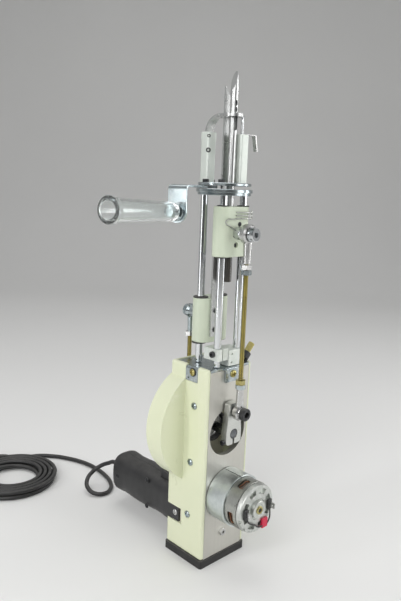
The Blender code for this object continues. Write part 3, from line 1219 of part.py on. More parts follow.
def make_rod_end(name, y, height, radius, thickness, shank, sign, mat, carrier):
    """An eye with a bored shank and a lock nut; sign says whether the shank points up or down."""
    eye = turned(name, [(PIN_RADIUS + GAP, 0), (radius - EDGE, 0), (radius, EDGE), (radius, thickness - EDGE),
                        (radius - EDGE, thickness), (PIN_RADIUS + GAP, thickness)],
                 (0, y - thickness / 2, height), Y_AXIS, PARTS, SMALL_ROUND)
    start = radius * EYE_SHANK_share
    end = radius + shank
    stem = rod(name + "_shank", (0, y, height + sign * start), (0, y, height + sign * end), SHANK_RADIUS,
               sides=WIRE_ROUND)
    nut = rod(name + "_nut", (0, y, height + sign * (end - EDGE)), (0, y, height + sign * (end + NUT_HEIGHT)),
              NUT_RADIUS, sides=6)
    bore_start = radius + shank / 2
    bore = rod(name + "_bore", (0, y, height + sign * bore_start),
               (0, y, height + sign * (end + NUT_HEIGHT + OVERRUN)), THREAD_RADIUS + GAP, sides=WIRE_ROUND)
    join(eye, stem, nut)
    cut(eye, bore)
    return finish(eye, mat, carrier)


def make_threaded_rod(mat, carrier):
    """The long rod screwed into both rod ends."""
    top = FRONT_PIN_HEIGHT - UPPER_EYE_RADIUS - SHANK_LENGTH / 2 - GAP
    base = CRANK_PIN_HEIGHT + LOWER_EYE_RADIUS + LOWER_SHANK_LENGTH / 2 + GAP
    obj = rod("front_connecting_rod", (0, FRONT_ROD_Y, base), (0, FRONT_ROD_Y, top), THREAD_RADIUS, PARTS,
              sides=WIRE_ROUND)
    return finish(obj, mat, carrier)


def make_crank_pin(mat, carrier):
    """The socket-head pin in the lower eye; it stops short of the crank arm, where the linkage is opened."""
    front = FRONT_ROD_Y - EYE_THICKNESS / 2 - GAP
    back = FRONT_ROD_Y + EYE_THICKNESS / 2
    socket = PIN_HEAD_RADIUS * SOCKET_share
    profile = [(0, back - front), (PIN_RADIUS, back - front), (PIN_RADIUS, 0), (PIN_HEAD_RADIUS, 0),
               (PIN_HEAD_RADIUS, -PIN_HEAD_LENGTH + EDGE), (PIN_HEAD_RADIUS - EDGE, -PIN_HEAD_LENGTH),
               (socket, -PIN_HEAD_LENGTH), (socket, -PIN_HEAD_LENGTH / 2), (0, -PIN_HEAD_LENGTH / 2)]
    return finish(turned("front_crank_pin", profile, (0, front, CRANK_PIN_HEIGHT), Y_AXIS, PARTS, WIRE_ROUND),
                  mat, carrier)


def make_rear_rod(mat, carrier):
    """The knife's connecting rod: both eyes, the shank between them and the pin at its lower eye."""
    y = REAR_ROD_Y
    half = REAR_EYE_THICKNESS / 2
    ring = [(PIN_RADIUS + GAP, 0), (REAR_EYE_RADIUS, 0), (REAR_EYE_RADIUS, REAR_EYE_THICKNESS),
            (PIN_RADIUS + GAP, REAR_EYE_THICKNESS)]
    obj = turned("rear_connecting_rod", ring, (0, y - half, REAR_PIN_HEIGHT), Y_AXIS, PARTS, SMALL_ROUND)
    start = REAR_CRANK_PIN_HEIGHT + REAR_EYE_RADIUS * EYE_SHANK_share
    end = REAR_PIN_HEIGHT - REAR_EYE_RADIUS * EYE_SHANK_share
    stem = rod("rear_rod_stem", (0, y, start), (0, y, end), THREAD_RADIUS, sides=WIRE_ROUND)
    eye = rod("rear_rod_lower_eye", (0, y - half, REAR_CRANK_PIN_HEIGHT),
              (0, y + half, REAR_CRANK_PIN_HEIGHT), REAR_EYE_RADIUS)
    top_seat = end - SHANK_LENGTH
    low_seat = start + SHANK_LENGTH
    top_shank = rod("rear_rod_top_shank", (0, y, end), (0, y, top_seat), SHANK_RADIUS, sides=WIRE_ROUND)
    low_shank = rod("rear_rod_low_shank", (0, y, start), (0, y, low_seat), SHANK_RADIUS, sides=WIRE_ROUND)
    top_nut = rod("rear_rod_top_nut", (0, y, top_seat + EDGE), (0, y, top_seat - NUT_HEIGHT), NUT_RADIUS,
                  sides=6)
    low_nut = rod("rear_rod_low_nut", (0, y, low_seat - EDGE), (0, y, low_seat + NUT_HEIGHT), NUT_RADIUS,
                  sides=6)
    join(obj, stem, eye, top_shank, low_shank, top_nut, low_nut)
    return finish(obj, mat, carrier)


# Grip and trigger

def superellipse(half_width, half_height, power, count):
    points = []
    for i in range(count):
        angle = 2 * math.pi * i / count
        c, s = math.cos(angle), math.sin(angle)
        points.append((math.copysign(abs(c) ** (2 / power), c) * half_width,
                       math.copysign(abs(s) ** (2 / power), s) * half_height))
    return points


def grip_body(name, shrink, collection=None):
    """A loft of rounded sections along +Y, swelling towards the palm and flaring at the end."""
    bm = bmesh.new()
    rings = []
    for i, swell in enumerate(GRIP_SWELL_share):
        y = GRIP_START + shrink + (GRIP_LENGTH - 2 * shrink) * i / (len(GRIP_SWELL_share) - 1)
        half_width = GRIP_WIDTH / 2 * swell - shrink
        half_height = GRIP_HEIGHT / 2 * swell - shrink
        ring = [bm.verts.new((x, y, GRIP_AXIS_HEIGHT + z))
                for x, z in superellipse(half_width, half_height, GRIP_POWER, GRIP_POINTS)]
        rings.append(ring)
    for first, second in zip(rings, rings[1:]):
        for i in range(GRIP_POINTS):
            j = (i + 1) % GRIP_POINTS
            bm.faces.new((first[i], second[i], second[j], first[j]))
    bm.faces.new(rings[0])
    bm.faces.new(list(reversed(rings[-1])))
    return mesh_object(name, bm, collection or CUTTERS)


def make_grip_half(name, side, mat):
    """One moulded half of the grip, open towards the other half, round the mount's neck and the trigger."""
    obj = grip_body(name, 0, PARTS)
    inside = grip_body(name + "_inside", GRIP_WALL)
    x0, x1 = sorted((side * GAP / 2, -side * GRIP_WIDTH))
    other = box(name + "_split", (x0, GRIP_START - OVERRUN, GRIP_AXIS_HEIGHT - GRIP_HEIGHT),
                (x1, GRIP_END + OVERRUN, GRIP_AXIS_HEIGHT + GRIP_HEIGHT))
    half_neck = MOUNT_NECK_WIDTH / 2 + GAP
    neck = box(name + "_neck", (-half_neck, GRIP_START - OVERRUN, MOUNT_CENTRE - MOUNT_HEIGHT / 2 - GAP),
               (half_neck, GRIP_START + GRIP_WALL + OVERRUN, MOUNT_CENTRE + MOUNT_HEIGHT / 2 + GAP))
    half_window = TRIGGER_WIDTH / 2 + GAP
    window = box(name + "_window", (-half_window, TRIGGER_START - GAP, GRIP_AXIS_HEIGHT + GRIP_HEIGHT / 4),
                 (half_window, TRIGGER_START + TRIGGER_LENGTH + GAP, GRIP_AXIS_HEIGHT + GRIP_HEIGHT))
    cord_hole = rod(name + "_cord_hole", (0, GRIP_END - GRIP_WALL - OVERRUN, GRIP_AXIS_HEIGHT),
                    (0, GRIP_END + OVERRUN, GRIP_AXIS_HEIGHT), GLAND_NECK + GAP, sides=WIRE_ROUND)
    cut(obj, inside, other, neck, window, cord_hole)
    return finish(obj, mat)


def make_grip_mount(mat):
    """The black block in the housing, screwed from both sides, with the neck that the grip clamps on."""
    half = HALF_WIDTH - EDGE
    low = MOUNT_CENTRE - MOUNT_HEIGHT / 2
    high = MOUNT_CENTRE + MOUNT_HEIGHT / 2
    obj = box("grip_mount", (-half, MID_PLATE_BACK + GAP, low), (half, INNER_BACK - 2 * GAP, high), PARTS)
    neck = box("grip_mount_neck", (-MOUNT_NECK_WIDTH / 2, INNER_BACK - OVERRUN, low),
               (MOUNT_NECK_WIDTH / 2, GRIP_START + MOUNT_NECK_REACH, high))
    join(obj, neck)
    for side in (-1, 1):
        inner, outer = sorted((side * (INNER_HALF_WIDTH - OVERRUN + GAP), side * half))
        join(obj, box(f"grip_mount_cheek_{side}", (inner, INNER_BACK - OVERRUN, low),
                      (outer, BACK - EDGE, high)))
    return finish(obj, mat)


def trigger_heights():
    """The top of the pad, the top of the flange and the underside of the trigger at rest."""
    surface = GRIP_AXIS_HEIGHT + GRIP_HEIGHT / 2
    flange_top = surface - TRIGGER_FLANGE_DROP
    return surface + TRIGGER_PROUD, flange_top, flange_top - TRIGGER_FLANGE_THICKNESS


def make_trigger(mat, carrier):
    """The finger pad in the grip's window, kept in by a flange under the wall."""
    top, flange_top, bottom = trigger_heights()
    half = TRIGGER_WIDTH / 2
    y0, y1 = TRIGGER_START, TRIGGER_START + TRIGGER_LENGTH
    middle = (y0 + y1) / 2
    sag = TRIGGER_PROUD * TRIGGER_SAG_share
    pad = []
    for i in range(TRIGGER_STEPS + 1):
        share = i / TRIGGER_STEPS
        y = y0 + (y1 - y0) * share
        pad.append((y, top - sag * math.sin(math.pi * share)))
    outline = [(y0, flange_top - EDGE)] + pad + [(y1, flange_top - EDGE)]
    turn = Matrix.Rotation(math.radians(90), 4, "Z") @ Matrix.Rotation(math.radians(90), 4, "X")
    obj = plate("trigger", [outline], TRIGGER_WIDTH, turn, PARTS)
    flange = box("trigger_flange", (-half - TRIGGER_FLANGE, y0 - TRIGGER_FLANGE, bottom),
                 (half + TRIGGER_FLANGE, y1 + TRIGGER_FLANGE, flange_top))
    join(obj, flange)
    return finish(obj, mat, carrier)


def make_switch(mat):
    """The switch under the trigger, with ribs that seat it between the grip's walls."""
    _, _, bottom = trigger_heights()
    top = bottom - TRIGGER_TRAVEL - GAP
    y0 = TRIGGER_START + (TRIGGER_LENGTH - SWITCH_LENGTH) / 2
    half = SWITCH_WIDTH / 2
    obj = box("trigger_switch", (-half, y0, top - SWITCH_HEIGHT), (half, y0 + SWITCH_LENGTH, top), PARTS)
    reach = GRIP_WIDTH / 2 * min(GRIP_SWELL_share) - GRIP_WALL - 2 * GAP
    middle = y0 + SWITCH_LENGTH / 2
    rib = box("switch_rib", (-reach, middle - SWITCH_RIB, GRIP_AXIS_HEIGHT - SWITCH_RIB),
              (reach, middle + SWITCH_RIB, GRIP_AXIS_HEIGHT + SWITCH_RIB))
    join(obj, rib)
    return finish(obj, mat)


# Thumb screw

def thumb_place(along):
    """A point on the tilted axis of the thumb screw."""
    base = Vector((THUMB_SCREW_X, THUMB_SCREW_Y, BRACKET_TOP + GAP + THUMB_SCREW_HEIGHT))
    return base + along * Vector((math.cos(THUMB_SCREW_TILT), 0, math.sin(THUMB_SCREW_TILT)))


def make_thumb_collar(mat):
    """The black collar on its foot at the corner of the bracket."""
    half = THUMB_COLLAR_LENGTH / 2
    obj = rod("thumb_screw_collar", thumb_place(-half), thumb_place(half), THUMB_COLLAR_RADIUS, PARTS,
              sides=WIRE_ROUND)
    base = BRACKET_TOP + GAP
    foot = box("thumb_collar_foot",
               (THUMB_SCREW_X - THUMB_SCREW_RADIUS, THUMB_SCREW_Y - THUMB_SCREW_RADIUS, base),
               (THUMB_SCREW_X + EDGE, THUMB_SCREW_Y + THUMB_SCREW_RADIUS,
                base + THUMB_SCREW_HEIGHT - THUMB_SCREW_RADIUS))
    bore = rod("thumb_collar_bore", thumb_place(-THUMB_COLLAR_LENGTH), thumb_place(THUMB_COLLAR_LENGTH),
               THUMB_SCREW_RADIUS + GAP, sides=WIRE_ROUND)
    join(obj, foot)
    cut(obj, bore)
    return finish(obj, mat)


def make_thumb_screw(mat):
    head = THUMB_COLLAR_LENGTH / 2 + GAP
    obj = rod("thumb_screw", thumb_place(-THUMB_COLLAR_LENGTH), thumb_place(head + EDGE), THUMB_SCREW_RADIUS,
              PARTS, sides=WIRE_ROUND)
    join(obj, rod("thumb_screw_head", thumb_place(head), thumb_place(head + THUMB_HEAD_LENGTH),
                  THUMB_HEAD_RADIUS, sides=WIRE_ROUND))
    return finish(obj, mat)


# Cord

def smooth_route(points, spacing):
    """Points at even spacing on a smooth curve through the route's points."""
    dense = []
    closed = [points[0], *points, points[-1]]
    for i in range(1, len(closed) - 2):
        p0, p1, p2, p3 = (Vector(closed[i + k]) for k in (-1, 0, 1, 2))
        for step in range(WIRE_ROUND):
            t = step / WIRE_ROUND
            dense.append(((2 * p1) + (p2 - p0) * t + (2 * p0 - 5 * p1 + 4 * p2 - p3) * t ** 2
                          + (3 * p1 - p0 - 3 * p2 + p3) * t ** 3) / 2)
    dense.append(Vector(points[-1]))
    length = sum((b - a).length for a, b in zip(dense, dense[1:]))
    count = round(length / spacing)
    picked = [dense[0]]
    walked = 0.0
    for a, b in zip(dense, dense[1:]):
        walked += (b - a).length
        if walked >= len(picked) * length / count and len(picked) < count:
            picked.append(b)
    picked.append(dense[-1])
    return picked, length


def coil_points():
    """Loops that spiral in on the floor and out again one layer up, with a straight run at both ends."""
    points = []
    layer = 2 * CORD_RADIUS + 2 * GAP + LAYER_CLEARANCE
    base = CORD_RADIUS + GAP
    total = 2 * COIL_LOOPS * COIL_LOOP_POINTS
    half = total // 2
    climb = COIL_LOOP_POINTS // 4
    for i in range(total + 1):
        angle = COIL_START_ANGLE + 2 * math.pi * i / COIL_LOOP_POINTS
        wound = min(i, total - i) / COIL_LOOP_POINTS
        radius = COIL_OUTER_RADIUS - COIL_SPACING * wound
        rise = min(max((i - half + climb) / (2 * climb), 0.0), 1.0)
        points.append(Vector((COIL_X + radius * math.cos(angle), COIL_Y + radius * math.sin(angle),
                              base + layer * rise)))
    run = 2 * CORD_RADIUS
    first = (points[0] - points[1]).normalized()
    last = (points[-1] - points[-2]).normalized()
    last.z = 0
    first.z = 0
    return [points[0] + first * run, *points, points[-1] + last * run]


def least_gap(points, skip):
    """The least distance between stretches of one tube that aren't neighbours, less its diameter."""
    least = math.inf
    for i in range(len(points) - 1):
        for j in range(i + skip, len(points) - 1):
            middle = (points[j] + points[j + 1]) / 2
            a, b = points[i], points[i + 1]
            t = max(0.0, min(1.0, (middle - a).dot(b - a) / (b - a).length_squared))
            least = min(least, (middle - a.lerp(b, t)).length)
    return least - 2 * CORD_RADIUS


def make_gland(mat):
    """The tapered strain relief at the end of the grip, with its neck between the grip's halves."""
    start = GRIP_END - GRIP_WALL
    face = GRIP_WALL + GAP
    profile = [(0, 0), (GLAND_NECK, 0), (GLAND_NECK, face), (GLAND_RADIUS, face),
               (GLAND_RADIUS, face + GLAND_NECK)]
    for i in range(GLAND_RIBS):
        low = face + GLAND_NECK + (GLAND_LENGTH - GLAND_NECK) * i / GLAND_RIBS
        high = face + GLAND_NECK + (GLAND_LENGTH - GLAND_NECK) * (i + 1) / GLAND_RIBS
        radius = GLAND_RADIUS + (CORD_RADIUS + EDGE - GLAND_RADIUS) * (i + 1) / GLAND_RIBS
        profile += [(radius - EDGE, low + EDGE), (radius, (low + high) / 2), (radius, high)]
    profile.append((0, face + GLAND_LENGTH))
    return finish(turned("cord_gland", profile, (0, start, GRIP_AXIS_HEIGHT), Y_AXIS, PARTS, WIRE_ROUND), mat)


def make_cord(mat):
    """The free stretch from the strain relief to the coil."""
    start = Vector((0, GRIP_END + GAP + GLAND_LENGTH + GAP, GRIP_AXIS_HEIGHT))
    coil = coil_points()
    arrival = (coil[0] - coil[1]).normalized()
    end = coil[0] + arrival * GAP
    run = 2 * CORD_RADIUS
    route = [start + Y_AXIS * run, *CORD_ROUTE, end + arrival * run]
    points, length = smooth_route(route, CORD_STEP)
    points = [start, *points, end]
    print("cord stretch length", round(length + 2 * run, 4), "points", len(points))
    return finish(tube("cord_stretch", points, CORD_RADIUS, PARTS), mat)


def make_coil(mat):
    points = coil_points()
    length = sum((b - a).length for a, b in zip(points, points[1:]))
    print("coil length", round(length, 4), "least gap", round(least_gap(points, COIL_LOOP_POINTS // 3), 5))
    return finish(tube("cord_coil", points, CORD_RADIUS, PARTS, resolution=1), mat)


def make_plug(mat):
    """The moulded plug on the coil's free end, with its hollow barrel."""
    points = coil_points()
    direction = (points[-1] - points[-2]).normalized()
    start = points[-1] + direction * GAP
    body = PLUG_LENGTH
    tip = body + PLUG_BARREL_LENGTH
    profile = [(0, 0), (CORD_RADIUS + EDGE, 0), (PLUG_RADIUS * PLUG_WAIST_share, body * PLUG_WAIST_share / 2),
               (PLUG_RADIUS, body / 2), (PLUG_RADIUS, body - EDGE), (PLUG_RADIUS - EDGE, body),
               (PLUG_BARREL_RADIUS, body), (PLUG_BARREL_RADIUS, tip), (PLUG_BARREL_BORE, tip),
               (PLUG_BARREL_BORE, body), (0, body)]
    return finish(turned("cord_plug", profile, start, direction, PARTS, WIRE_ROUND), mat)


def make_materials():
    return {
        "cream": make_material("cream_plastic", (0.86, 0.88, 0.76), 0.35),
        "nylon": make_material("nylon", (0.80, 0.86, 0.76), 0.4),
        "aluminium": make_material("aluminium", (0.72, 0.75, 0.74), 0.35, 1.0),
        "chrome": make_material("chrome", (0.85, 0.86, 0.88), 0.08, 1.0),
        "steel": make_material("steel", (0.62, 0.63, 0.63), 0.3, 1.0),
        "zinc": make_material("zinc_steel", (0.50, 0.60, 0.62), 0.35, 1.0),
        "dark": make_material("dark_steel", (0.12, 0.13, 0.14), 0.35, 1.0),
        "brass": make_material("yellow_zinc", (0.72, 0.62, 0.25), 0.3, 1.0),
        "black": make_material("black_plastic", (0.02, 0.02, 0.02), 0.5),
        "rubber": make_material("rubber", (0.03, 0.03, 0.03), 0.8),
        "clear": make_material("clear_acrylic", (0.92, 0.95, 0.95), 0.08, 0.0, 0.9),
    }


def build_housing(mat):
    make_foot(mat["rubber"])
    make_shell("left_shell", -1, mat["cream"])
    make_shell("right_shell", 1, mat["cream"])
    make_front_plate(mat["aluminium"])
    make_mid_plate(mat["aluminium"])
    make_rear_plate(mat["aluminium"])
    make_bracket(mat["zinc"])
    make_clamp_block(mat["aluminium"])
    make_foot_block(mat["aluminium"])
    names = ("front_left", "front_right", "rear_left", "rear_right")
    for name, (x, y) in zip(names, rod_places()):
        make_guide_rod("guide_rod_" + name, x, y, mat["chrome"])
    make_thumb_collar(mat["black"])
    make_thumb_screw(mat["brass"])


def build_drive(mat):
    crank = axis_empty("crank_axis", (0, 0, CRANK_HEIGHT))
    rotor = axis_empty("motor_axis", (0, 0, MOTOR_HEIGHT))
    make_bearing_housing(mat["black"])
    make_bearing(mat["steel"])
    make_bushing(mat["brass"])
    make_crank_shaft(mat["steel"], crank)
    make_crank_arm(mat["steel"], crank)
    make_rear_crank(mat["steel"], crank)
    make_drive_pulley(mat["aluminium"], crank)
    make_belt(mat["rubber"])
    make_motor_can(mat["steel"])
    make_flux_ring(mat["steel"])
    make_motor_cap(mat["steel"])
    make_motor_shaft(mat["steel"], rotor)
    make_motor_pulley(mat["aluminium"], rotor)


def build_head(mat):
    make_ring_plate(mat["aluminium"])
    make_ring_cap(mat["aluminium"])
    make_post("left_post", LEFT_POST_X, LEFT_POST_Y, POST_SIDE, LEFT_POST_HEIGHT, mat["aluminium"],
              POST_HEAD_HEIGHT)
    make_post("rear_post", REAR_POST_X, REAR_POST_Y, REAR_POST_SIDE, REAR_POST_HEIGHT, mat["aluminium"])
    make_post("right_post", RIGHT_POST_X, RIGHT_POST_Y, POST_SIDE, RIGHT_POST_HEIGHT, mat["aluminium"])
    make_presser_foot(mat["dark"])
    make_yarn_hook(mat["steel"])
    make_handle_bracket(mat["steel"])
    make_side_handle(mat["clear"])
    make_handle_bolt(mat["steel"])


def build_sliders(mat):
    needle = axis_empty("needle_slide_axis", (0, NEEDLE_Y, SLIDER_BASE))
    knife = axis_empty("knife_slide_axis", (0, KNIFE_Y, KNIFE_SLIDER_BASE))
    front = axis_empty("front_rod_axis", (0, FRONT_ROD_Y, FRONT_PIN_HEIGHT))
    rear = axis_empty("rear_rod_axis", (0, REAR_ROD_Y, REAR_PIN_HEIGHT))
    make_needle_slider(mat["nylon"], needle)
    make_needle(mat["steel"], needle)
    make_yarn_tube(mat["black"], needle)
    make_needle_stud(mat["steel"], needle)
    make_knife_slider(mat["nylon"], knife)
    make_knife_bar(mat["dark"], knife)
    make_knife_stud(mat["steel"], knife)
    make_rod_end("front_rod_upper_end", FRONT_ROD_Y, FRONT_PIN_HEIGHT, UPPER_EYE_RADIUS, EYE_THICKNESS,
                 SHANK_LENGTH, -1, mat["steel"], front)
    make_rod_end("front_rod_lower_end", FRONT_ROD_Y, CRANK_PIN_HEIGHT, LOWER_EYE_RADIUS, EYE_THICKNESS,
                 LOWER_SHANK_LENGTH, 1, mat["steel"], front)
    make_threaded_rod(mat["brass"], front)
    make_crank_pin(mat["dark"], front)
    make_rear_rod(mat["brass"], rear)


def build_grip(mat):
    trigger = axis_empty("trigger_axis", (0, TRIGGER_START + TRIGGER_LENGTH / 2, GRIP_AXIS_HEIGHT))
    make_grip_mount(mat["black"])
    make_grip_half("grip_left", -1, mat["black"])
    make_grip_half("grip_right", 1, mat["black"])
    make_trigger(mat["black"], trigger)
    make_switch(mat["black"])
    make_gland(mat["rubber"])
    make_cord(mat["rubber"])
    make_coil(mat["rubber"])
    make_plug(mat["black"])


clear_scene()
PARTS = make_collection("tufting_machine")
CUTTERS = make_collection("cutters")
MATERIALS = make_materials()
build_housing(MATERIALS)
build_drive(MATERIALS)
build_head(MATERIALS)
build_sliders(MATERIALS)
build_grip(MATERIALS)
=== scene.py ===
import math
import bpy
from mathutils import Matrix, Vector


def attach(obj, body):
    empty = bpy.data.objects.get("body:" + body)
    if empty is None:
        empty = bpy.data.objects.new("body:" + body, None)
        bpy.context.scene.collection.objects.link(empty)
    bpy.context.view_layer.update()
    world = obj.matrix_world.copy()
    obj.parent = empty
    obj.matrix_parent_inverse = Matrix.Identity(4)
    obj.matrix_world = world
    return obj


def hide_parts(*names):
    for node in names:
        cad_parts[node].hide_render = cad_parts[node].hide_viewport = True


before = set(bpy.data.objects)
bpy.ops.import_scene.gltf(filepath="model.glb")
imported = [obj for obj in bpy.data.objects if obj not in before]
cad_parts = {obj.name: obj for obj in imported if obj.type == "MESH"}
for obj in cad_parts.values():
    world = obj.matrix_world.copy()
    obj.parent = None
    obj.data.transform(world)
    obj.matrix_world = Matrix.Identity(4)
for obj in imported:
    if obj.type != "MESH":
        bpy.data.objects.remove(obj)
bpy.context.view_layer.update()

EAST = Vector((1, 0, 0))
BACK = Vector((0, 1, 0))
FRONT = Vector((0, -1, 0))
WEST = Vector((-1, 0, 0))
UP = Vector((0, 0, 1))
TAU = 2 * math.pi

# Places that several pieces share
HALF_WIDTH, HOUSING_FRONT, HOUSING_BACK = 0.026, -0.0223, 0.0223
HOUSING_BASE, HOUSING_TOP = 0.007, 0.174
CRANK_HEIGHT, MOTOR_HEIGHT = 0.117, 0.062
BRACKET_TOP = 0.1732
ROD_X, FRONT_RODS, REAR_RODS = 0.01135, -0.0172, 0.0045
RING_CENTRE = Vector((0, -0.00635, 0))
POST_BASE = 0.322
NEEDLE_Y = -0.013
FRONT_ROD_Y, FRONT_PIN, CRANK_PIN = -0.0342, 0.283, 0.137
REAR_ROD_Y, REAR_PIN, REAR_CRANK_PIN = 0.0283, 0.2122, 0.1095
SHELL_SCREWS = (-0.0076, 0.1405), (-0.0053, 0.0905), (-0.004, 0.0426)
SHAFT_BORE, ROD_BORE, PIN_BORE = 0.0043, 0.0033, 0.0033
PASSAGE_FRONT, PASSAGE_HALF = -0.0186, 0.0056
GRIP_HEIGHT, HANDLE_HEIGHT = 0.031, 0.2987
SEAM = 0.00015  # half the gap between two moulded halves
MERGE = 0.00001  # points nearer to each other than this become one
VIEW_YAW = 0.766
SIDES = (-1, "left"), (1, "right")


# Picking, drawing and shaping, as by hand

def put_down():
    """Back to object mode with nothing picked."""
    if bpy.context.object and bpy.context.object.mode != "OBJECT":
        bpy.ops.object.mode_set(mode="OBJECT")
    bpy.ops.object.select_all(action="DESELECT")


def pick(piece):
    put_down()
    piece.select_set(True)
    bpy.context.view_layer.objects.active = piece


def pick_all():
    """Everything in the mesh that is open in edit mode."""
    bpy.ops.mesh.select_all(action="SELECT")


def merge_all():
    """Picks the whole mesh and merges the points that lie on each other."""
    pick_all()
    bpy.ops.mesh.remove_doubles(threshold=MERGE)


def extrude(*step):
    bpy.ops.mesh.extrude_region_move(TRANSFORM_OT_translate={"value": step})


def rename(piece, name):
    piece.name = piece.data.name = name
    return piece


def modify(piece, kind, **settings):
    """Puts a modifier on a piece and applies it."""
    step = piece.modifiers.new(kind.lower(), kind)
    for key, value in settings.items():
        setattr(step, key, value)
    pick(piece)
    bpy.ops.object.modifier_apply(modifier=step.name)
    return piece


def new_piece(name):
    """An empty mesh at the origin, open in edit mode."""
    put_down()
    bpy.ops.mesh.primitive_plane_add(size=0.01, location=(0, 0, 0))
    piece = rename(bpy.context.object, name)
    bpy.ops.object.mode_set(mode="EDIT")
    bpy.ops.mesh.delete(type="VERT")
    return piece


def trace(points):
    """Puts down one loose point and extrudes it from place to place."""
    bpy.ops.mesh.select_all(action="DESELECT")
    bpy.ops.mesh.primitive_plane_add(size=0.001, location=points[0])
    bpy.ops.mesh.merge(type="CENTER")
    for near, far in zip(points, points[1:]):
        extrude(*(Vector(far) - Vector(near)))


def close_up():
    """Merges the seams and poles, turns the faces outwards and leaves edit mode."""
    merge_all()
    bpy.ops.mesh.normals_make_consistent(inside=False)
    bpy.ops.object.mode_set(mode="OBJECT")


def turned(name, profile, steps=48):
    """A line of (radius, height) points spun once round the upright axis."""
    piece = new_piece(name)
    trace([(radius, 0, height) for radius, height in profile])
    pick_all()
    bpy.ops.mesh.spin(steps=steps, angle=TAU, center=(0, 0, 0), axis=(0, 0, 1))
    close_up()
    return piece


def flat(name, outline, thickness, *holes):
    """An outline in X and Y, filled round its holes and extruded up."""
    piece = new_piece(name)
    for loop in (outline, *holes):
        trace([(x, y, 0) for x, y in (*loop, loop[0])])
    merge_all()
    bpy.ops.mesh.fill()
    pick_all()
    extrude(0, 0, thickness)
    close_up()
    return piece


def upright(name, outline, thickness, y, *holes):
    """An outline in X and Z that thickens forwards from its depth."""
    return settle(flat(name, outline, thickness, *holes), drawn_on((0, y, 0), EAST, UP))


def block(name, low, high, soft=0.0, segments=3):
    """A box between two corners, with its edges rounded."""
    put_down()
    low, high = Vector(low), Vector(high)
    bpy.ops.mesh.primitive_cube_add(size=1, location=(low + high) / 2, scale=high - low)
    piece = rename(bpy.context.object, name)
    bpy.ops.object.transform_apply()
    return soften(piece, soft, segments) if soft else piece


def bar(name, start, end, radius, end_radius=None, sides=48):
    """A round bar or a cone between two points."""
    start, end = Vector(start), Vector(end)
    put_down()
    bpy.ops.mesh.primitive_cone_add(vertices=sides, radius1=radius, depth=(end - start).length,
        radius2=radius if end_radius is None else end_radius)
    return settle(rename(bpy.context.object, name), facing((start + end) / 2, end - start))


def soften(piece, width, segments=2, angle=40):
    """Rounds every edge that is sharper than the angle."""
    return modify(piece, "BEVEL", width=width, segments=segments, limit_method="ANGLE",
        angle_limit=math.radians(angle), miter_outer="MITER_ARC")


def shape(piece, operation, *tools):
    for tool in tools:
        modify(piece, "BOOLEAN", operation=operation, solver="EXACT", object=tool)
        bpy.data.objects.remove(tool, do_unlink=True)
    return piece


def cut(piece, *tools):
    return shape(piece, "DIFFERENCE", *tools)


def weld(piece, *tools):
    return shape(piece, "UNION", *tools)


def mend(piece):
    """Cleans a mesh after its cuts: slivers dissolved, doubles merged, pinholes filled."""
    pick(piece)
    bpy.ops.object.mode_set(mode="EDIT")
    pick_all()
    bpy.ops.mesh.dissolve_degenerate(threshold=MERGE)
    bpy.ops.mesh.remove_doubles(threshold=MERGE)
    bpy.ops.mesh.fill_holes(sides=0)
    close_up()
    return piece


def gather(piece, *others):
    """Joins loose pieces into one object."""
    pick(piece)
    for other in others:
        other.select_set(True)
    bpy.ops.object.join()
    return piece


def facing(at, direction, turn=0.0):
    """A place whose own upright axis points along the direction."""
    lean = Vector(direction).to_track_quat("Z", "Y").to_matrix().to_4x4()
    return Matrix.Translation(at) @ lean @ Matrix.Rotation(turn, 4, "Z")


def drawn_on(at, across, up):
    """A place for a drawing: its X runs across, its Y runs up, and it thickens towards the viewer."""
    across, up = Vector(across).normalized(), Vector(up).normalized()
    place = Matrix((across, up, across.cross(up))).transposed().to_4x4()
    place.translation = Vector(at)
    return place


def settle(piece, place):
    """Moves a piece, and leaves its place in its mesh."""
    pick(piece)
    piece.matrix_world = place
    bpy.ops.object.transform_apply()
    return piece


def shift(piece, *step):
    return settle(piece, Matrix.Translation(step))


def twin(piece, name, step=(0, 0, 0)):
    """A shifted copy with a mesh of its own."""
    pick(piece)
    bpy.ops.object.duplicate()
    return shift(rename(bpy.context.object, name), *step)


def halve(piece, left_name, right_name, low, high):
    """Splits a hollow form at its middle into two halves, a hair apart."""
    right = twin(piece, right_name)
    cut(piece, block("split", (-SEAM, *low), (0.1, *high)))
    cut(right, block("split", (-0.1, *low), (SEAM, *high)))
    return rename(piece, left_name), right


def dress(piece, finish, *nodes, body="machine", angle=38):
    """Gives a piece its shading, finish and body, and hides the solids that it stands for."""
    material, slot = FINISHES[finish]
    pick(piece)
    bpy.ops.object.shade_smooth_by_angle(angle=math.radians(angle))
    modify(piece, "WEIGHTED_NORMAL", keep_sharp=True)
    piece.data.materials.clear()
    piece.data.materials.append(material)
    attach(piece, body)
    if nodes:
        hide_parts(*nodes)
    return piece


def rounded_box(left, low, right, high, radius, steps=6):
    """The outline of a box with round corners."""
    points = []
    for x, y, start in ((right - radius, low + radius, -90), (right - radius, high - radius, 0),
            (left + radius, high - radius, 90), (left + radius, low + radius, 180)):
        points += arc(x, y, radius, start, start + 90, steps)
    return points


def arc(x, y, radius, start, end, steps=12):
    """Points on an arc from start to end, in degrees."""
    turns = [math.radians(start + (end - start) * i / steps) for i in range(steps + 1)]
    return [(x + radius * math.cos(turn), y + radius * math.sin(turn)) for turn in turns]


def ring(x, y, radius, steps=48):
    return arc(x, y, radius, 0, 360 * (steps - 1) / steps, steps - 1)


# Camera, cord, floor and light

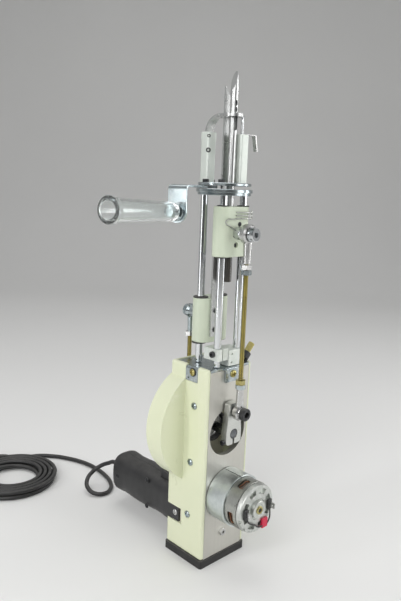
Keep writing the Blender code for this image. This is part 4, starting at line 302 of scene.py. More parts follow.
def set_camera():
    """The photograph's viewpoint: level with the ring plate, in front of the left corner."""
    yaw, pitch, roll = VIEW_YAW, 0.178, 0.038
    forward = Vector((math.sin(yaw) * math.cos(pitch), math.cos(yaw) * math.cos(pitch), -math.sin(pitch)))
    level = Vector((math.cos(yaw), -math.sin(yaw), 0))
    above = level.cross(forward)
    right = math.cos(roll) * level + math.sin(roll) * above
    top = math.cos(roll) * above - math.sin(roll) * level
    bpy.ops.object.camera_add()
    camera = bpy.context.object
    camera.name = "photo_camera"
    camera.matrix_world = Matrix((right, top, -forward)).transposed().to_4x4()
    camera.location = (-0.357341, -0.355042, 0.315340)
    # 612.456 pixels of focal length, where the 36 mm sensor spans the picture's 601
    camera.data.lens = 612.456 * 36 / 601
    camera.data.clip_start = 0.01
    camera.data.clip_end = 20
    bpy.context.scene.camera = camera


def cord_line():
    """The cord's line: out of the strain relief, a loop behind the grip, over the table and into the coil."""
    leaving = Vector((0, 0.1337, GRIP_HEIGHT))
    route = [(0, 0.1381, GRIP_HEIGHT), (0, 0.148, 0.0262), (-0.004, 0.156, 0.0215), (-0.012, 0.1595, 0.016),
        (-0.0215, 0.156, 0.0105), (-0.026, 0.147, 0.006), (-0.0235, 0.1375, 0.0032), (-0.015, 0.133, 0.0024),
        (-0.005, 0.137, 0.0024), (0.003, 0.148, 0.0024), (0.0085, 0.165, 0.0024), (0.0105, 0.187, 0.0024),
        (0.008, 0.208, 0.0024), (0, 0.229, 0.0024), (-0.011, 0.246, 0.0024), (-0.025, 0.258, 0.0024)]
    coil, middle, outermost, base = [], (-0.072, 0.2225), 0.0455, 0.0025
    loops, around, spacing, layer = 4, 20, 0.005, 0.0052
    total = 2 * loops * around
    for i in range(total + 1):
        turn = math.radians(70) + TAU * i / around
        radius = outermost - spacing * min(i, total - i) / around
        rise = min(max((i - total / 2 + around / 4) / (around / 2), 0), 1)
        coil.append(Vector((middle[0] + radius * math.cos(turn), middle[1] + radius * math.sin(turn), base
            + layer * rise)))
    level = Vector((1, 1, 0))
    first = ((coil[0] - coil[1]) * level).normalized() * 0.0044
    last = ((coil[-1] - coil[-2]) * level).normalized() * 0.0044
    return [leaving, *map(Vector, route), coil[0] + first, *coil, coil[-1] + last]


def bend(line, points):
    """Lays a curve smoothly through its points."""
    for knot, place in zip(line.bezier_points, points):
        knot.co = place
        knot.handle_left_type = knot.handle_right_type = "AUTO"


def make_cord():
    """One smooth cable along the whole line, through both of the cord's solids."""
    points = cord_line()
    curve = bpy.data.curves.new("power_cord", "CURVE")
    curve.dimensions = "3D"
    curve.bevel_depth = 0.0022
    curve.bevel_resolution = 5
    curve.resolution_u = 5
    curve.use_fill_caps = True
    line = curve.splines.new("BEZIER")
    line.bezier_points.add(len(points) - 1)
    bend(line, points)
    cord = bpy.data.objects.new("power_cord", curve)
    bpy.context.scene.collection.objects.link(cord)
    material, slot = FINISHES["cord"]
    cord.data.materials.append(material)
    barrel = make_plug(points)
    bpy.context.view_layer.update()
    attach(cord, "machine")
    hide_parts("cord_stretch", "cord_coil")


def set_stage():
    """A pale floor that sweeps up behind the machine."""
    end, bend_radius, half_width = 1.3, 0.7, 2.6
    sweep = [(-2.2, 0), (end, 0)]
    for i in range(1, 13):
        turn = math.pi / 2 * i / 12
        sweep.append((end + bend_radius * math.sin(turn), bend_radius - bend_radius * math.cos(turn)))
    floor = new_piece("floor")
    trace([(-half_width, y, z) for y, z in (*sweep, (2.0, 2.6))])
    pick_all()
    extrude(2 * half_width, 0, 0)
    bpy.ops.mesh.normals_make_consistent(inside=False)
    bpy.ops.object.mode_set(mode="OBJECT")
    floor.rotation_euler.z = -VIEW_YAW
    pick(floor)
    bpy.ops.object.transform_apply()
    bpy.ops.object.shade_smooth()
    material, shader, tree = blank("pale_floor")
    tone = blend(tree, noise(tree, spot(tree), 3, 2), (0.80, 0.80, 0.79, 1), (0.84, 0.84, 0.83, 1))
    tree.links.new(tone, shader.inputs["Base Color"])
    shader.inputs["Roughness"].default_value = 0.8
    floor.data.materials.append(material)


def set_light():
    """A white room, dimmer behind the camera, with a soft box, a fill, two tall strips and a light above."""
    world = bpy.data.worlds.new("studio")
    bpy.context.scene.world = world
    world.use_nodes = True
    tree = world.node_tree
    back = tree.nodes["Background"]
    where = node(tree, "TexCoord").outputs["Generated"]
    ahead = node(tree, "VectorMath", {0: where, 1: (0.69, 0.72, 0.15)}, operation="DOT_PRODUCT")
    tree.links.new(remap(tree, ahead.outputs["Value"], -0.9, 0.6, 0.10, 0.62), back.inputs["Strength"])
    back.inputs["Color"].default_value = (1, 1, 1, 1)
    middle = Vector((0, 0, 0.2))
    for name, at, width, height, power in (("soft_box", (-0.95, -0.55, 0.85), 0.8, 0.8, 8),
            ("fill", (0.55, -1.25, 0.55), 0.7, 0.7, 4.5), ("left_strip", (-1.05, 0.25, 0.35), 0.12, 1, 3),
            ("right_strip", (0.95, -0.55, 0.35), 0.12, 1, 3), ("top_light", (0.1, 0.3, 1.5), 0.9, 0.9, 4.5)):
        bpy.ops.object.light_add(type="AREA", location=at)
        lamp = bpy.context.object
        lamp.name = name
        lamp.data.shape = "RECTANGLE"
        lamp.data.size, lamp.data.size_y, lamp.data.energy = width, height, power
        lamp.rotation_euler = (middle - Vector(at)).to_track_quat("-Z", "Y").to_euler()


# Finishes

def node(tree, kind, inputs=None, **settings):
    """A node with its settings, its plain values and its links in one call."""
    made = tree.nodes.new("ShaderNode" + kind)
    for key, value in settings.items():
        setattr(made, key, value)
    for socket, value in (inputs or {}).items():
        if isinstance(value, bpy.types.NodeSocket):
            tree.links.new(value, made.inputs[socket])
        else:
            made.inputs[socket].default_value = value
    return made


def noise(tree, place, scale, detail, **more):
    return node(tree, "TexNoise", {"Vector": place, "Scale": scale, "Detail": detail, **more}).outputs["Fac"]


def remap(tree, value, low, high, least=0, most=1):
    """A value's range from low to high, stretched to reach from least to most."""
    inputs = {"Value": value, "From Min": low, "From Max": high, "To Min": least, "To Max": most}
    return node(tree, "MapRange", inputs).outputs[0]


def maths(tree, operation, first, second, **settings):
    return node(tree, "Math", {0: first, 1: second}, operation=operation, **settings).outputs[0]


def blend(tree, share, under, over):
    return node(tree, "Mix", {0: share, 6: under, 7: over}, data_type="RGBA").outputs[2]


def group(name, *outputs, **inputs):
    """A new node group that is told its place, with its input node and its output node."""
    tree = bpy.data.node_groups.new(name, "ShaderNodeTree")
    tree.interface.new_socket("Place", in_out="INPUT", socket_type="NodeSocketVector")
    for title, value in inputs.items():
        kind = {3: "Vector", 4: "Color"}[len(value)] if isinstance(value, tuple) else "Float"
        tree.interface.new_socket(title, in_out="INPUT", socket_type="NodeSocket" + kind).default_value = value
    for title in outputs:
        kind = "Color" if title == "Colour" else "Float"
        tree.interface.new_socket(title, in_out="OUTPUT", socket_type="NodeSocket" + kind)
    return tree, tree.nodes.new("NodeGroupInput").outputs, tree.nodes.new("NodeGroupOutput").inputs


def uneven_colour():
    """Slow blotches that drift between two colours."""
    tree, given, gives = group("uneven_colour", "Colour", "Mask", Colour=(0.8, 0.8, 0.8, 1),
        Tint=(0.7, 0.7, 0.7, 1), Size=40.0, Amount=0.5)
    mask = remap(tree, noise(tree, given["Place"], given["Size"], 3, Roughness=0.6), 0.35, 0.7)
    share = maths(tree, "MULTIPLY", mask, given["Amount"])
    tree.links.new(blend(tree, share, given["Colour"], given["Tint"]), gives["Colour"])
    tree.links.new(mask, gives["Mask"])
    return tree


def moulded_grain():
    """The fine pebbled skin of a moulded or cast surface."""
    tree, given, gives = group("moulded_grain", "Height", Size=900.0)
    fine = noise(tree, given["Place"], given["Size"], 2)
    pits = node(tree, "TexVoronoi", {"Vector": given["Place"], "Scale": given["Size"]}, feature="SMOOTH_F1")
    tree.links.new(maths(tree, "ADD", fine, pits.outputs["Distance"]), gives["Height"])
    return tree


def drawn_lines():
    """Long fine lines left by brushing, drawing or turning; Stretch says how dense they are on each axis."""
    tree, given, gives = group("drawn_lines", "Lines", Stretch=(900, 900, 12))
    place = node(tree, "VectorMath", {0: given["Place"], 1: given["Stretch"]}, operation="MULTIPLY")
    tree.links.new(noise(tree, place.outputs[0], 1, 4, Roughness=0.7), gives["Lines"])
    return tree


def rubbed_edges():
    """Where corners and rims are rubbed bright: the mesh's own convexity, broken up by noise."""
    tree, given, gives = group("rubbed_edges", "Mask", Size=300.0, Amount=0.6)
    bulge = remap(tree, node(tree, "NewGeometry").outputs["Pointiness"], 0.53, 0.62)
    broken = remap(tree, noise(tree, given["Place"], given["Size"], 3), 0.38, 0.62)
    mask = maths(tree, "MULTIPLY", maths(tree, "MULTIPLY", bulge, broken), given["Amount"])
    tree.links.new(mask, gives["Mask"])
    return tree


def handled_gloss():
    """Roughness that wanders between two values, as on a surface that hands have touched."""
    tree, given, gives = group("handled_gloss", "Roughness", Size=60.0, Least=0.2, Most=0.4)
    smear = noise(tree, given["Place"], given["Size"], 4, Roughness=0.65, Distortion=0.6)
    tree.links.new(remap(tree, smear, 0.3, 0.7, given["Least"], given["Most"]), gives["Roughness"])
    return tree


def settled_dust():
    """A thin veil on surfaces that face up."""
    tree, given, gives = group("settled_dust", "Mask", Amount=0.2)
    lean = node(tree, "SeparateXYZ", {0: node(tree, "NewGeometry").outputs["Normal"]})
    upward = remap(tree, lean.outputs["Z"], 0.45, 1)
    patchy = maths(tree, "MULTIPLY", upward, noise(tree, given["Place"], 220, 5))
    tree.links.new(maths(tree, "MULTIPLY", patchy, given["Amount"]), gives["Mask"])
    return tree


def blank(name):
    material = bpy.data.materials.new(name)
    material.use_nodes = True
    tree = material.node_tree
    return material, tree.nodes["Principled BSDF"], tree


def spot(tree):
    return node(tree, "TexCoord").outputs["Object"]


def placed(tree, name, **values):
    """The first output of a shared group, placed in a material with its own values."""
    return node(tree, "Group", values, node_tree=GROUPS[name]).outputs[0]


def connect(tree, shader, colour, gloss, height, depth, **values):
    """Gives a shader its colour, its roughness, its bump and its plain values."""
    bump = node(tree, "Bump", {"Height": height, "Strength": depth, "Distance": 0.0004})
    for socket, source in (("Base Color", colour), ("Roughness", gloss), ("Normal", bump.outputs[0])):
        tree.links.new(source, shader.inputs[socket])
    for socket, value in values.items():
        shader.inputs[socket.replace("_", " ")].default_value = value


def finish(name, slot, colour, tint, rough, metal=0, blotch=40, grain=(900, 0.03), lines=None, worn=None, dust=0.15,
        coat=0):
    """A solid finish: two tones, grain or drawn lines in the bump, wandering gloss, worn edges and dust."""
    material, shader, tree = blank(name)
    place = spot(tree)
    skin = placed(tree, "uneven_colour", Place=place, Colour=(*colour, 1), Tint=(*tint, 1), Size=blotch)
    height = placed(tree, "moulded_grain", Place=place, Size=grain[0])
    gloss = placed(tree, "handled_gloss", Place=place, Least=rough[0], Most=rough[1])
    if lines:
        *stretch, depth, shade = lines
        drawn = placed(tree, "drawn_lines", Place=place, Stretch=stretch)
        darker = remap(tree, drawn, 0.3, 0.7, 1 - shade, 1 + shade * 0.4)
        skin = node(tree, "VectorMath", {0: skin, 1: darker}, operation="MULTIPLY").outputs[0]
        gloss = maths(tree, "DIVIDE", gloss, darker)
        height = node(tree, "Mix", {0: depth, 2: height, 3: drawn}, data_type="FLOAT").outputs[0]
    if worn:
        *bright, share = worn
        skin = blend(tree, placed(tree, "rubbed_edges", Place=place, Amount=share), skin, (*bright, 1))
    if dust:
        veil = placed(tree, "settled_dust", Place=place, Amount=dust)
        skin = blend(tree, veil, skin, (0.62, 0.60, 0.56, 1))
        gloss = maths(tree, "ADD", gloss, veil, use_clamp=True)
    connect(tree, shader, skin, gloss, height, grain[1], Metallic=metal, Coat_Weight=coat, Coat_Roughness=0.12)
    return material, slot


def clear_acrylic():
    """The side handle's clear plastic: faintly tinted, with smears in its gloss."""
    material, shader, tree = blank("clear_acrylic")
    place = spot(tree)
    skin = placed(tree, "uneven_colour", Place=place, Colour=(0.93, 0.96, 0.95, 1), Tint=(0.86, 0.90, 0.90, 1),
        Size=30)
    gloss = placed(tree, "handled_gloss", Place=place, Size=90, Least=0.02, Most=0.14)
    height = placed(tree, "moulded_grain", Place=place, Size=120)
    connect(tree, shader, skin, gloss, height, 0.04, Transmission_Weight=0.95, IOR=1.49)
    return material, "clear_acrylic"


GROUPS = {tree.name: tree for tree in (uneven_colour(), moulded_grain(), drawn_lines(), rubbed_edges(),
    handled_gloss(), settled_dust())}

FINISHES = {
    "cream": finish("cream_plastic", "cream_plastic", (0.74, 0.77, 0.56), (0.70, 0.74, 0.53), (0.26, 0.42),
        blotch=28, grain=(1500, 0.03), worn=(0.82, 0.83, 0.68, 0.5), coat=0.15),
    "nylon": finish("nylon", "nylon", (0.60, 0.66, 0.52), (0.55, 0.62, 0.49), (0.32, 0.5), blotch=60,
        grain=(900, 0.04), lines=(240, 240, 60, 0.2, 0.04), worn=(0.72, 0.74, 0.62, 0.4)),
    "aluminium": finish("milled_aluminium", "aluminium", (0.66, 0.67, 0.64), (0.58, 0.60, 0.58), (0.30, 0.44), 1,
        lines=(60, 900, 1400, 0.7, 0.10), grain=(700, 0.05), worn=(0.85, 0.86, 0.85, 0.6)),
    "anodised": finish("silver_anodised", "aluminium", (0.68, 0.72, 0.67), (0.60, 0.66, 0.62), (0.42, 0.56), 0.45,
        lines=(1800, 1800, 60, 0.3, 0.04), grain=(1600, 0.03), worn=(0.86, 0.88, 0.86, 0.5)),
    # Pale beige and not metallic: painted light, brightening the aluminium mid plate that sits in shade behind the
    # window
    "pale_plate_painted_light": finish("pale_plate_painted_light", "aluminium", (0.78, 0.76, 0.62), (0.72, 0.70, 0.58), (0.4, 0.55),
        blotch=60, grain=(900, 0.04), dust=0),
    "front_plate": finish("brushed_plate", "aluminium", (0.62, 0.61, 0.56), (0.57, 0.56, 0.52), (0.34, 0.46), 0.8,
        lines=(1600, 40, 14, 0.7, 0.06), grain=(700, 0.04), worn=(0.8, 0.8, 0.78, 0.6)),
    "chrome": finish("chrome", "chrome", (0.66, 0.68, 0.69), (0.60, 0.62, 0.63), (0.06, 0.13), 1, blotch=90,
        lines=(2400, 2400, 14, 0.5, 0.01), grain=(300, 0.0005), dust=0.03),
    "ground": finish("ground_steel", "steel", (0.56, 0.57, 0.56), (0.50, 0.51, 0.51), (0.24, 0.34), 1, blotch=120,
        lines=(2600, 2600, 20, 0.6, 0.03), grain=(900, 0.002), worn=(0.8, 0.8, 0.79, 0.2), dust=0.03),
    "steel": finish("bright_steel", "steel", (0.58, 0.58, 0.57), (0.50, 0.51, 0.51), (0.2, 0.32), 1, blotch=140,
        lines=(1500, 1500, 60, 0.4, 0.06), grain=(900, 0.012), worn=(0.8, 0.8, 0.79, 0.5)),
    "zinc": finish("blue_zinc", "zinc_steel", (0.38, 0.44, 0.46), (0.48, 0.52, 0.52), (0.16, 0.28), 1, blotch=160,
        grain=(600, 0.012), worn=(0.72, 0.75, 0.75, 0.5)),
    "can": finish("drawn_can_steel", "steel", (0.42, 0.43, 0.40), (0.30, 0.31, 0.29), (0.22, 0.36), 1, blotch=70,
        lines=(60, 2200, 60, 0.5, 0.08), grain=(900, 0.012), worn=(0.7, 0.7, 0.68, 0.5)),
    "ring_steel": finish("galvanised_steel", "zinc_steel", (0.62, 0.67, 0.66), (0.52, 0.58, 0.58), (0.26, 0.4), 1,
        blotch=110, lines=(40, 1600, 40, 0.4, 0.04), grain=(500, 0.012), worn=(0.85, 0.87, 0.86, 0.5)),
    "bell": finish("cast_end_bell", "steel", (0.64, 0.66, 0.63), (0.40, 0.42, 0.40), (0.3, 0.46), 1, blotch=240,
        grain=(1100, 0.14), worn=(0.8, 0.8, 0.78, 0.8)),
    "yellow_zinc": finish("yellow_zinc", "yellow_zinc", (0.46, 0.40, 0.15), (0.34, 0.31, 0.16), (0.22, 0.38), 1,
        blotch=150, grain=(900, 0.05), worn=(0.66, 0.60, 0.32, 0.6)),
    "black_steel": finish("blackened_steel", "dark_steel", (0.026, 0.027, 0.030), (0.045, 0.046, 0.048),
        (0.26, 0.42), 0.5, blotch=180, grain=(900, 0.03), worn=(0.22, 0.22, 0.22, 0.3)),
    "dark_steel": finish("hardened_steel", "dark_steel", (0.17, 0.18, 0.19), (0.11, 0.12, 0.13), (0.2, 0.34), 1,
        blotch=120, lines=(2400, 2400, 16, 0.6, 0.05), grain=(900, 0.004), worn=(0.5, 0.51, 0.51, 0.3)),
    "black": finish("black_plastic", "black_plastic", (0.018, 0.018, 0.019), (0.030, 0.030, 0.031), (0.3, 0.46),
        blotch=60, grain=(1300, 0.12), worn=(0.07, 0.07, 0.07, 0.2), dust=0.08),
    "rubber": finish("black_rubber", "rubber", (0.020, 0.020, 0.020), (0.036, 0.035, 0.034), (0.6, 0.8), blotch=90,
        grain=(1500, 0.3), worn=(0.07, 0.07, 0.07, 0.5), dust=0.25),
    "cord": finish("cord_rubber", "rubber", (0.016, 0.016, 0.017), (0.028, 0.028, 0.028), (0.34, 0.5), blotch=50,
        grain=(1600, 0.08), dust=0.12),
    "hose": finish("smoked_hose", "black_plastic", (0.035, 0.032, 0.028), (0.07, 0.062, 0.05), (0.12, 0.26),
        blotch=150, grain=(300, 0.05), coat=0.3),
    "copper": finish("copper_wire", "yellow_zinc", (0.24, 0.11, 0.06), (0.16, 0.07, 0.04), (0.25, 0.4), 1,
        lines=(300, 2200, 300, 0.6, 0.2), grain=(900, 0.1)),
    "red": finish("red_sleeve", "rubber", (0.62, 0.015, 0.06), (0.50, 0.01, 0.05), (0.3, 0.45), grain=(700, 0.05)),
    "acrylic": clear_acrylic(),
}

# The solids inside the housing that keep their own shape, and the finish that each gets; the mid plate's pale,
# non-metallic colour is painted light on an aluminium plate that sits in shade
INSIDE = {"mid_plate": "pale_plate_painted_light", "rear_plate": "aluminium", "belt": "rubber", "drive_pulley": "aluminium",
    "motor_pulley": "steel", "motor_shaft": "steel", "crank_shaft": "dark_steel", "rear_bushing": "yellow_zinc",
    "trigger_switch": "black"}


def dress_solids():
    """The solids inside keep their shape and get a full finish."""
    for name, finish_name in INSIDE.items():
        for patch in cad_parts[name].material_slots:
            patch.material = FINISHES[finish_name][0]


# Fasteners, wires and threads

def socket_screw(name, radius, height, at, direction, turn=0.0):
    """A cap screw's head with its hexagon socket, standing on a point."""
    rim = 0.12 * radius
    head = turned(name, [(0, 0), (radius, 0), (radius, height - rim), (radius - rim, height), (0, height)], 40)
    key = bar(name + "_key", (0, 0, height * 0.35), (0, 0, height * 2), radius * 0.56, sides=6)
    return settle(cut(head, key), facing(at, direction, turn))


def cross_screw(name, radius, height, at, direction, turn=0.35):
    """A domed screw head with its cross recess."""
    low = height * 0.3
    dome = [(radius * math.cos(math.radians(a)), low + (height - low) * math.sin(math.radians(a)))
        for a in (0, 15, 30, 45, 60, 75)]
    head = turned(name, [(0, 0), (radius, 0), *dome, (0, height)], 40)
    long, thin = radius * 0.62, radius * 0.17
    cut(head, block(name + "_slot_a", (-long, -thin, height * 0.2), (long, thin, height * 2)),
        block(name + "_slot_b", (-thin, -long, height * 0.2), (thin, long, height * 2)))
    return settle(head, facing(at, direction, turn))


def hex_nut(name, radius, height, at, direction, turn=0.0, bore=0.0):
    """A hexagon with both of its faces chamfered."""
    nut = bar(name, (0, 0, 0), (0, 0, height), radius, sides=6)
    near, rim = radius * 0.88, radius * 0.1
    round_off = turned(name + "_rim", [(0, 0), (near, 0), (radius * 1.02, rim), (radius * 1.02, height - rim),
        (near, height), (0, height)], 40)
    shape(nut, "INTERSECT", round_off)
    if bore:
        cut(nut, bar(name + "_bore", (0, 0, -height), (0, 0, height * 2), bore, sides=32))
    return settle(nut, facing(at, direction, turn))


def washer(name, radius, bore, height, at, direction):
    rim = min(height * 0.25, 0.0003)
    return settle(turned(name, [(bore, 0), (radius - rim, 0), (radius, rim), (radius, height - rim),
        (radius - rim, height), (bore, height), (bore, 0)], 40), facing(at, direction))


def thread(name, start, end, radius, pitch=0.0007):
    """A threaded bar: ridges and roots all the way along."""
    start, end = Vector(start), Vector(end)
    length = (end - start).length
    root = radius - pitch * 0.45
    profile = [(0, 0), (root, 0)]
    for i in range(int(length / pitch)):
        profile += [(radius, (i + 0.5) * pitch), (root, (i + 1) * pitch)]
    return settle(turned(name, profile + [(root, length), (0, length)], 24), facing(start, end - start))


def wire(name, points, radius, closed=False, sides=3):
    """A round wire bent smoothly through its points."""
    put_down()
    bpy.ops.curve.primitive_bezier_curve_add()
    piece = rename(bpy.context.object, name)
    line = piece.data.splines[0]
    line.bezier_points.add(len(points) - 2)
    line.use_cyclic_u = closed
    line.resolution_u = 4
    bend(line, points)
    piece.data.bevel_depth = radius
    piece.data.bevel_resolution = sides
    piece.data.use_fill_caps = True
    pick(piece)
    bpy.ops.object.convert(target="MESH")
    bpy.ops.object.mode_set(mode="EDIT")
    close_up()
    return bpy.context.object


# Housing

def make_foot():
    foot = flat("base_foot_pad", rounded_box(-0.0268, -0.0231, 0.0268, 0.0231, 0.002), 0.0067)
    dress(soften(foot, 0.0008), "rubber", "base_foot")


def make_shells():
    """One housing with a bulge round the drive pulley, hollowed and split into its two moulded halves."""
    housing = block("shell", (-HALF_WIDTH, HOUSING_FRONT, HOUSING_BASE), (HALF_WIDTH, HOUSING_BACK, HOUSING_TOP),
        0.0022, 4)
    radius = 0.0516
    meets = math.degrees(math.acos(HALF_WIDTH / radius))
    outline = (arc(0, 0, radius, -meets, meets, 26) + arc(0, 0, radius, meets, 180 - meets, 14)[1:-1]
        + arc(0, 0, radius, 180 - meets, 180 + meets, 26) + arc(0, 0, radius, 180 + meets, 360 - meets, 14)[1:-1])
    bulge = settle(flat("bulge", outline, 0.0188), drawn_on((0, HOUSING_BACK, CRANK_HEIGHT), EAST, UP))
    weld(housing, soften(bulge, 0.0024, 4))
    tab_front, tab_back = -0.01087, 0.00373
    drum = bar("drum", (0, 0.0061, CRANK_HEIGHT), (0, 0.0197, CRANK_HEIGHT), 0.0490, sides=96)
    cut(housing, block("cavity", (-0.0234, -0.0197, 0.0096), (0.0234, 0.0197, 0.1714)), drum,
        block("front_opening", (-0.023, -0.03, 0), (0.023, -0.0170, 0.2)),
        bar("shaft_hole", (0, 0.0177, CRANK_HEIGHT), (0, 0.03, CRANK_HEIGHT), 0.0073),
        block("neck_hole", (-0.0103, 0.0177, 0.030), (0.0103, 0.03, 0.044)),
        block("plate_seat", (-0.0228, -0.03, 0.1708), (0.0228, 0.0191, 0.18)),
        block("tab_fold", (-0.03, tab_front, 0.1708), (0.03, tab_back, 0.18)))
    for side in (-1, 1):
        for y, z in SHELL_SCREWS:
            cut(housing, bar("seat", (side * 0.0255, y, z), (side * 0.03, y, z), 0.0036))
        for inner, low, high in ((0.0214, (0.0032, 0.030), (0.03, 0.044)),
                (0.0239, (tab_front, 0.1607), (tab_back, 0.18))):
            near, far = sorted((side * inner, side * 0.03))
            cut(housing, block("notch", (near, *low), (far, *high)))
    left, right = halve(housing, "left_shell_half", "right_shell_half", (-0.1, -0.1), (0.1, 0.3))
    dress(mend(left), "cream", "left_shell", angle=30)
    dress(mend(right), "cream", "right_shell", angle=30)


def make_shell_screws():
    """The crosshead screws that hold each shell to the plates."""
    for side, label in SIDES:
        x, out = side * 0.0254, (side, 0, 0)
        for i, (y, z) in enumerate(SHELL_SCREWS):
            dress(cross_screw(f"shell_screw_{label}_{i}", 0.0030, 0.0016, (x, y, z), out, 0.3 + i), "zinc")
        dress(cross_screw(f"mount_screw_{label}", 0.0026, 0.0008, (x, 0.0120, 0.0375), out, 0.2), "steel")


def make_front_plate():
    outline = rounded_box(-0.0227, 0.0073, 0.0227, 0.1711, 0.0006, 2)
    plate = upright("front_plate_milled", outline, 0.005, -0.0173, ring(0, CRANK_HEIGHT, 0.0206, 96),
        ring(0, MOTOR_HEIGHT, 0.0212, 96))
    dress(soften(plate, 0.0003), "front_plate", "front_plate")
    dress(hex_nut("plate_nut", 0.0034, 0.0022, (-0.0015, HOUSING_FRONT, 0.026), FRONT, 0.3, bore=0.0013), "steel")


def make_bracket():
    """The folded plate sunk in the housing's top, with a tab over the front and one over each side."""
    plate = block("top_bracket_folded", (-0.0225, -0.0223, 0.1714), (0.0225, 0.0188, BRACKET_TOP))
    outer, inner = arc(0.0222, 0.1710, 0.0022, 90, 0, 8), arc(0.0222, 0.1710, 0.0004, 0, 90, 4)
    tab = [(0.015, BRACKET_TOP), *outer, (0.0244, 0.161), (0.0226, 0.161), *inner, (0.015, 0.1714)]
    side_tab, width, middle = [(x + 0.0016, z) for x, z in tab], 0.014, -0.003568
    weld(plate, settle(flat("front_tab", tab, width), drawn_on((width / 2, 0, 0), FRONT, UP)))
    for side in (-1, 1):
        place = drawn_on((0, middle + side * width / 2, 0), (side, 0, 0), UP)
        weld(plate, settle(flat("side_tab", side_tab, width), place))
    soften(plate, 0.00025)
    for side in (-1, 1):
        cut(plate, bar("tab_hole", (side * 0.02, 0.0005, 0.1633), (side * 0.03, 0.0005, 0.1633), 0.0008, sides=20))
    dress(plate, "zinc", "top_bracket")
    dress(cross_screw("tab_screw_front", 0.0032, 0.0016, (0.0014, -0.0244, 0.1675), FRONT, 0.2), "yellow_zinc")
    for side, label in SIDES:
        at, out = Vector((side * HALF_WIDTH, -0.0049, 0.1689)), Vector((side, 0, 0))
        dress(washer(f"tab_washer_{label}", 0.0037, 0.0015, 0.0005, at, out), "black_steel")
        dress(cross_screw(f"tab_screw_{label}", 0.0029, 0.0013, at + out * 0.0005, out), "yellow_zinc")


def make_rod_blocks():
    """The split clamp round the left rod, and the block that stands on the bracket round the right one."""
    left = block("rod_clamp_left", (-0.01535, -0.0220, 0.1793), (-0.00315, -0.0055, 0.1893), 0.0005)
    cut(left, bar("bore", (-ROD_X, FRONT_RODS, 0.17), (-ROD_X, FRONT_RODS, 0.2), ROD_BORE),
        block("slit", (-0.01025, -0.03, 0.17), (-0.00925, -0.0121, 0.2)))
    dress(left, "anodised", "rod_block_left")
    right = block("rod_clamp_right", (-0.00235, -0.0220, 0.1735), (0.01535, -0.0055, 0.187), 0.0005)
    cut(right, bar("bore", (ROD_X, FRONT_RODS, 0.17), (ROD_X, FRONT_RODS, 0.2), ROD_BORE),
        *(bar("mark", (0.0015, -0.03, z), (0.0015, -0.0205, z), 0.0009, sides=24) for z in (0.1838, 0.1765)))
    dress(right, "anodised", "rod_block_right")
    for label, at, out in (("left", (-0.01535, -0.0165, 0.1848), WEST),
            ("right", (0.01535, -0.0105, 0.1805), EAST)):
        dress(socket_screw(f"clamp_screw_{label}", 0.0026, 0.0022, at, out, 0.2), "black_steel")


def make_rods():
    master = turned("rod", [(0, 0.1735), (0.0025, 0.1735), (0.003, 0.174), (0.003, 0.3137), (0.0025, 0.3142),
        (0, 0.3142)], 40)
    for side, label in SIDES:
        for row, y in (("front", FRONT_RODS), ("rear", REAR_RODS)):
            name = f"guide_rod_{row}_{label}"
            dress(twin(master, name + "_ground", (side * ROD_X, y, 0)), "chrome", name)
    bpy.data.objects.remove(master, do_unlink=True)


def on_axis(piece, y, height, direction=BACK):
    """Turns a spun piece so that it starts at a depth on a level axis."""
    return settle(piece, facing((0, y, height), direction))


def make_bearing():
    """The black hub with its ball bearing, seen through the window."""
    hub = turned("bearing_hub", [(0.0113, 0), (0.0131, 0), (0.0136, 0.0005), (0.0136, 0.0068), (0.0170, 0.0068),
        (0.0175, 0.0073), (0.0175, 0.010), (0.0113, 0.010), (0.0113, 0)], 64)
    dress(on_axis(hub, -0.0068, CRANK_HEIGHT), "black", "bearing_housing")
    race = turned("ball_bearing", [(0.0043, 0), (0.0058, 0), (0.0060, 0.0003), (0.0062, 0.0008), (0.0090, 0.0008),
        (0.0092, 0.0003), (0.0094, 0), (0.0107, 0), (0.011, 0.0003), (0.011, 0.007), (0.0043, 0.007), (0.0043, 0)],
        64)
    dress(on_axis(race, -0.0041, CRANK_HEIGHT), "steel", "front_bearing")


# Motor

def round_motor(degrees, height=0.0):
    """A place turned round the motor's axis, at a height over it."""
    return (Matrix.Translation((0, 0, MOTOR_HEIGHT)) @ Matrix.Rotation(math.radians(degrees), 4, "Y")
        @ Matrix.Translation((0, 0, height)))


def make_motor():
    can = turned("motor_can_drawn", [(0, 0), (0.0205, 0), (0.0208, 0.0003), (0.0208, 0.0560), (0.0204, 0.0572),
        (0.0196, 0.0575), (0.0085, 0.0575), (0.0085, 0.0605), (0.0028, 0.0605), (0.0028, 0.0545), (0, 0.0545)], 96)
    on_axis(can, -0.0543, MOTOR_HEIGHT)
    for i, turn in enumerate((-16, 74, 164, -106)):
        vent = flat("vent", rounded_box(-0.0058, -0.0515, 0.0058, -0.0458, 0.0016), 0.01)
        cut(can, settle(vent, round_motor(turn, 0.0186)))
        coil = wire(f"winding_{i}",
            [(x, y, 0) for x, y in ((-0.0048, -0.0498), (0, -0.0502), (0.0048, -0.0498), (0.0048, -0.0478),
            (0, -0.0474), (-0.0048, -0.0478))], 0.0006, closed=True)
        dress(settle(coil, round_motor(turn, 0.0192)), "copper")
    dress(can, "can", "motor_can")
    band = turned("flux_ring_rolled", [(0.0211, 0), (0.0221, 0), (0.0224, 0.0003), (0.0224, 0.0192),
        (0.0221, 0.0195), (0.0211, 0.0195), (0.0211, 0)], 96)
    on_axis(band, -0.0421, MOTOR_HEIGHT)
    seam = settle(block("seam", (-0.0004, -0.05, 0.02), (0.0004, -0.02, 0.03)), round_motor(-5.5))
    dress(cut(band, seam), "ring_steel", "motor_flux_ring")


def on_bell(y, turn):
    """A place for a drawing on the end bell, turned round its axis."""
    return drawn_on((0, y, MOTOR_HEIGHT), EAST, UP) @ Matrix.Rotation(turn, 4, "Z")


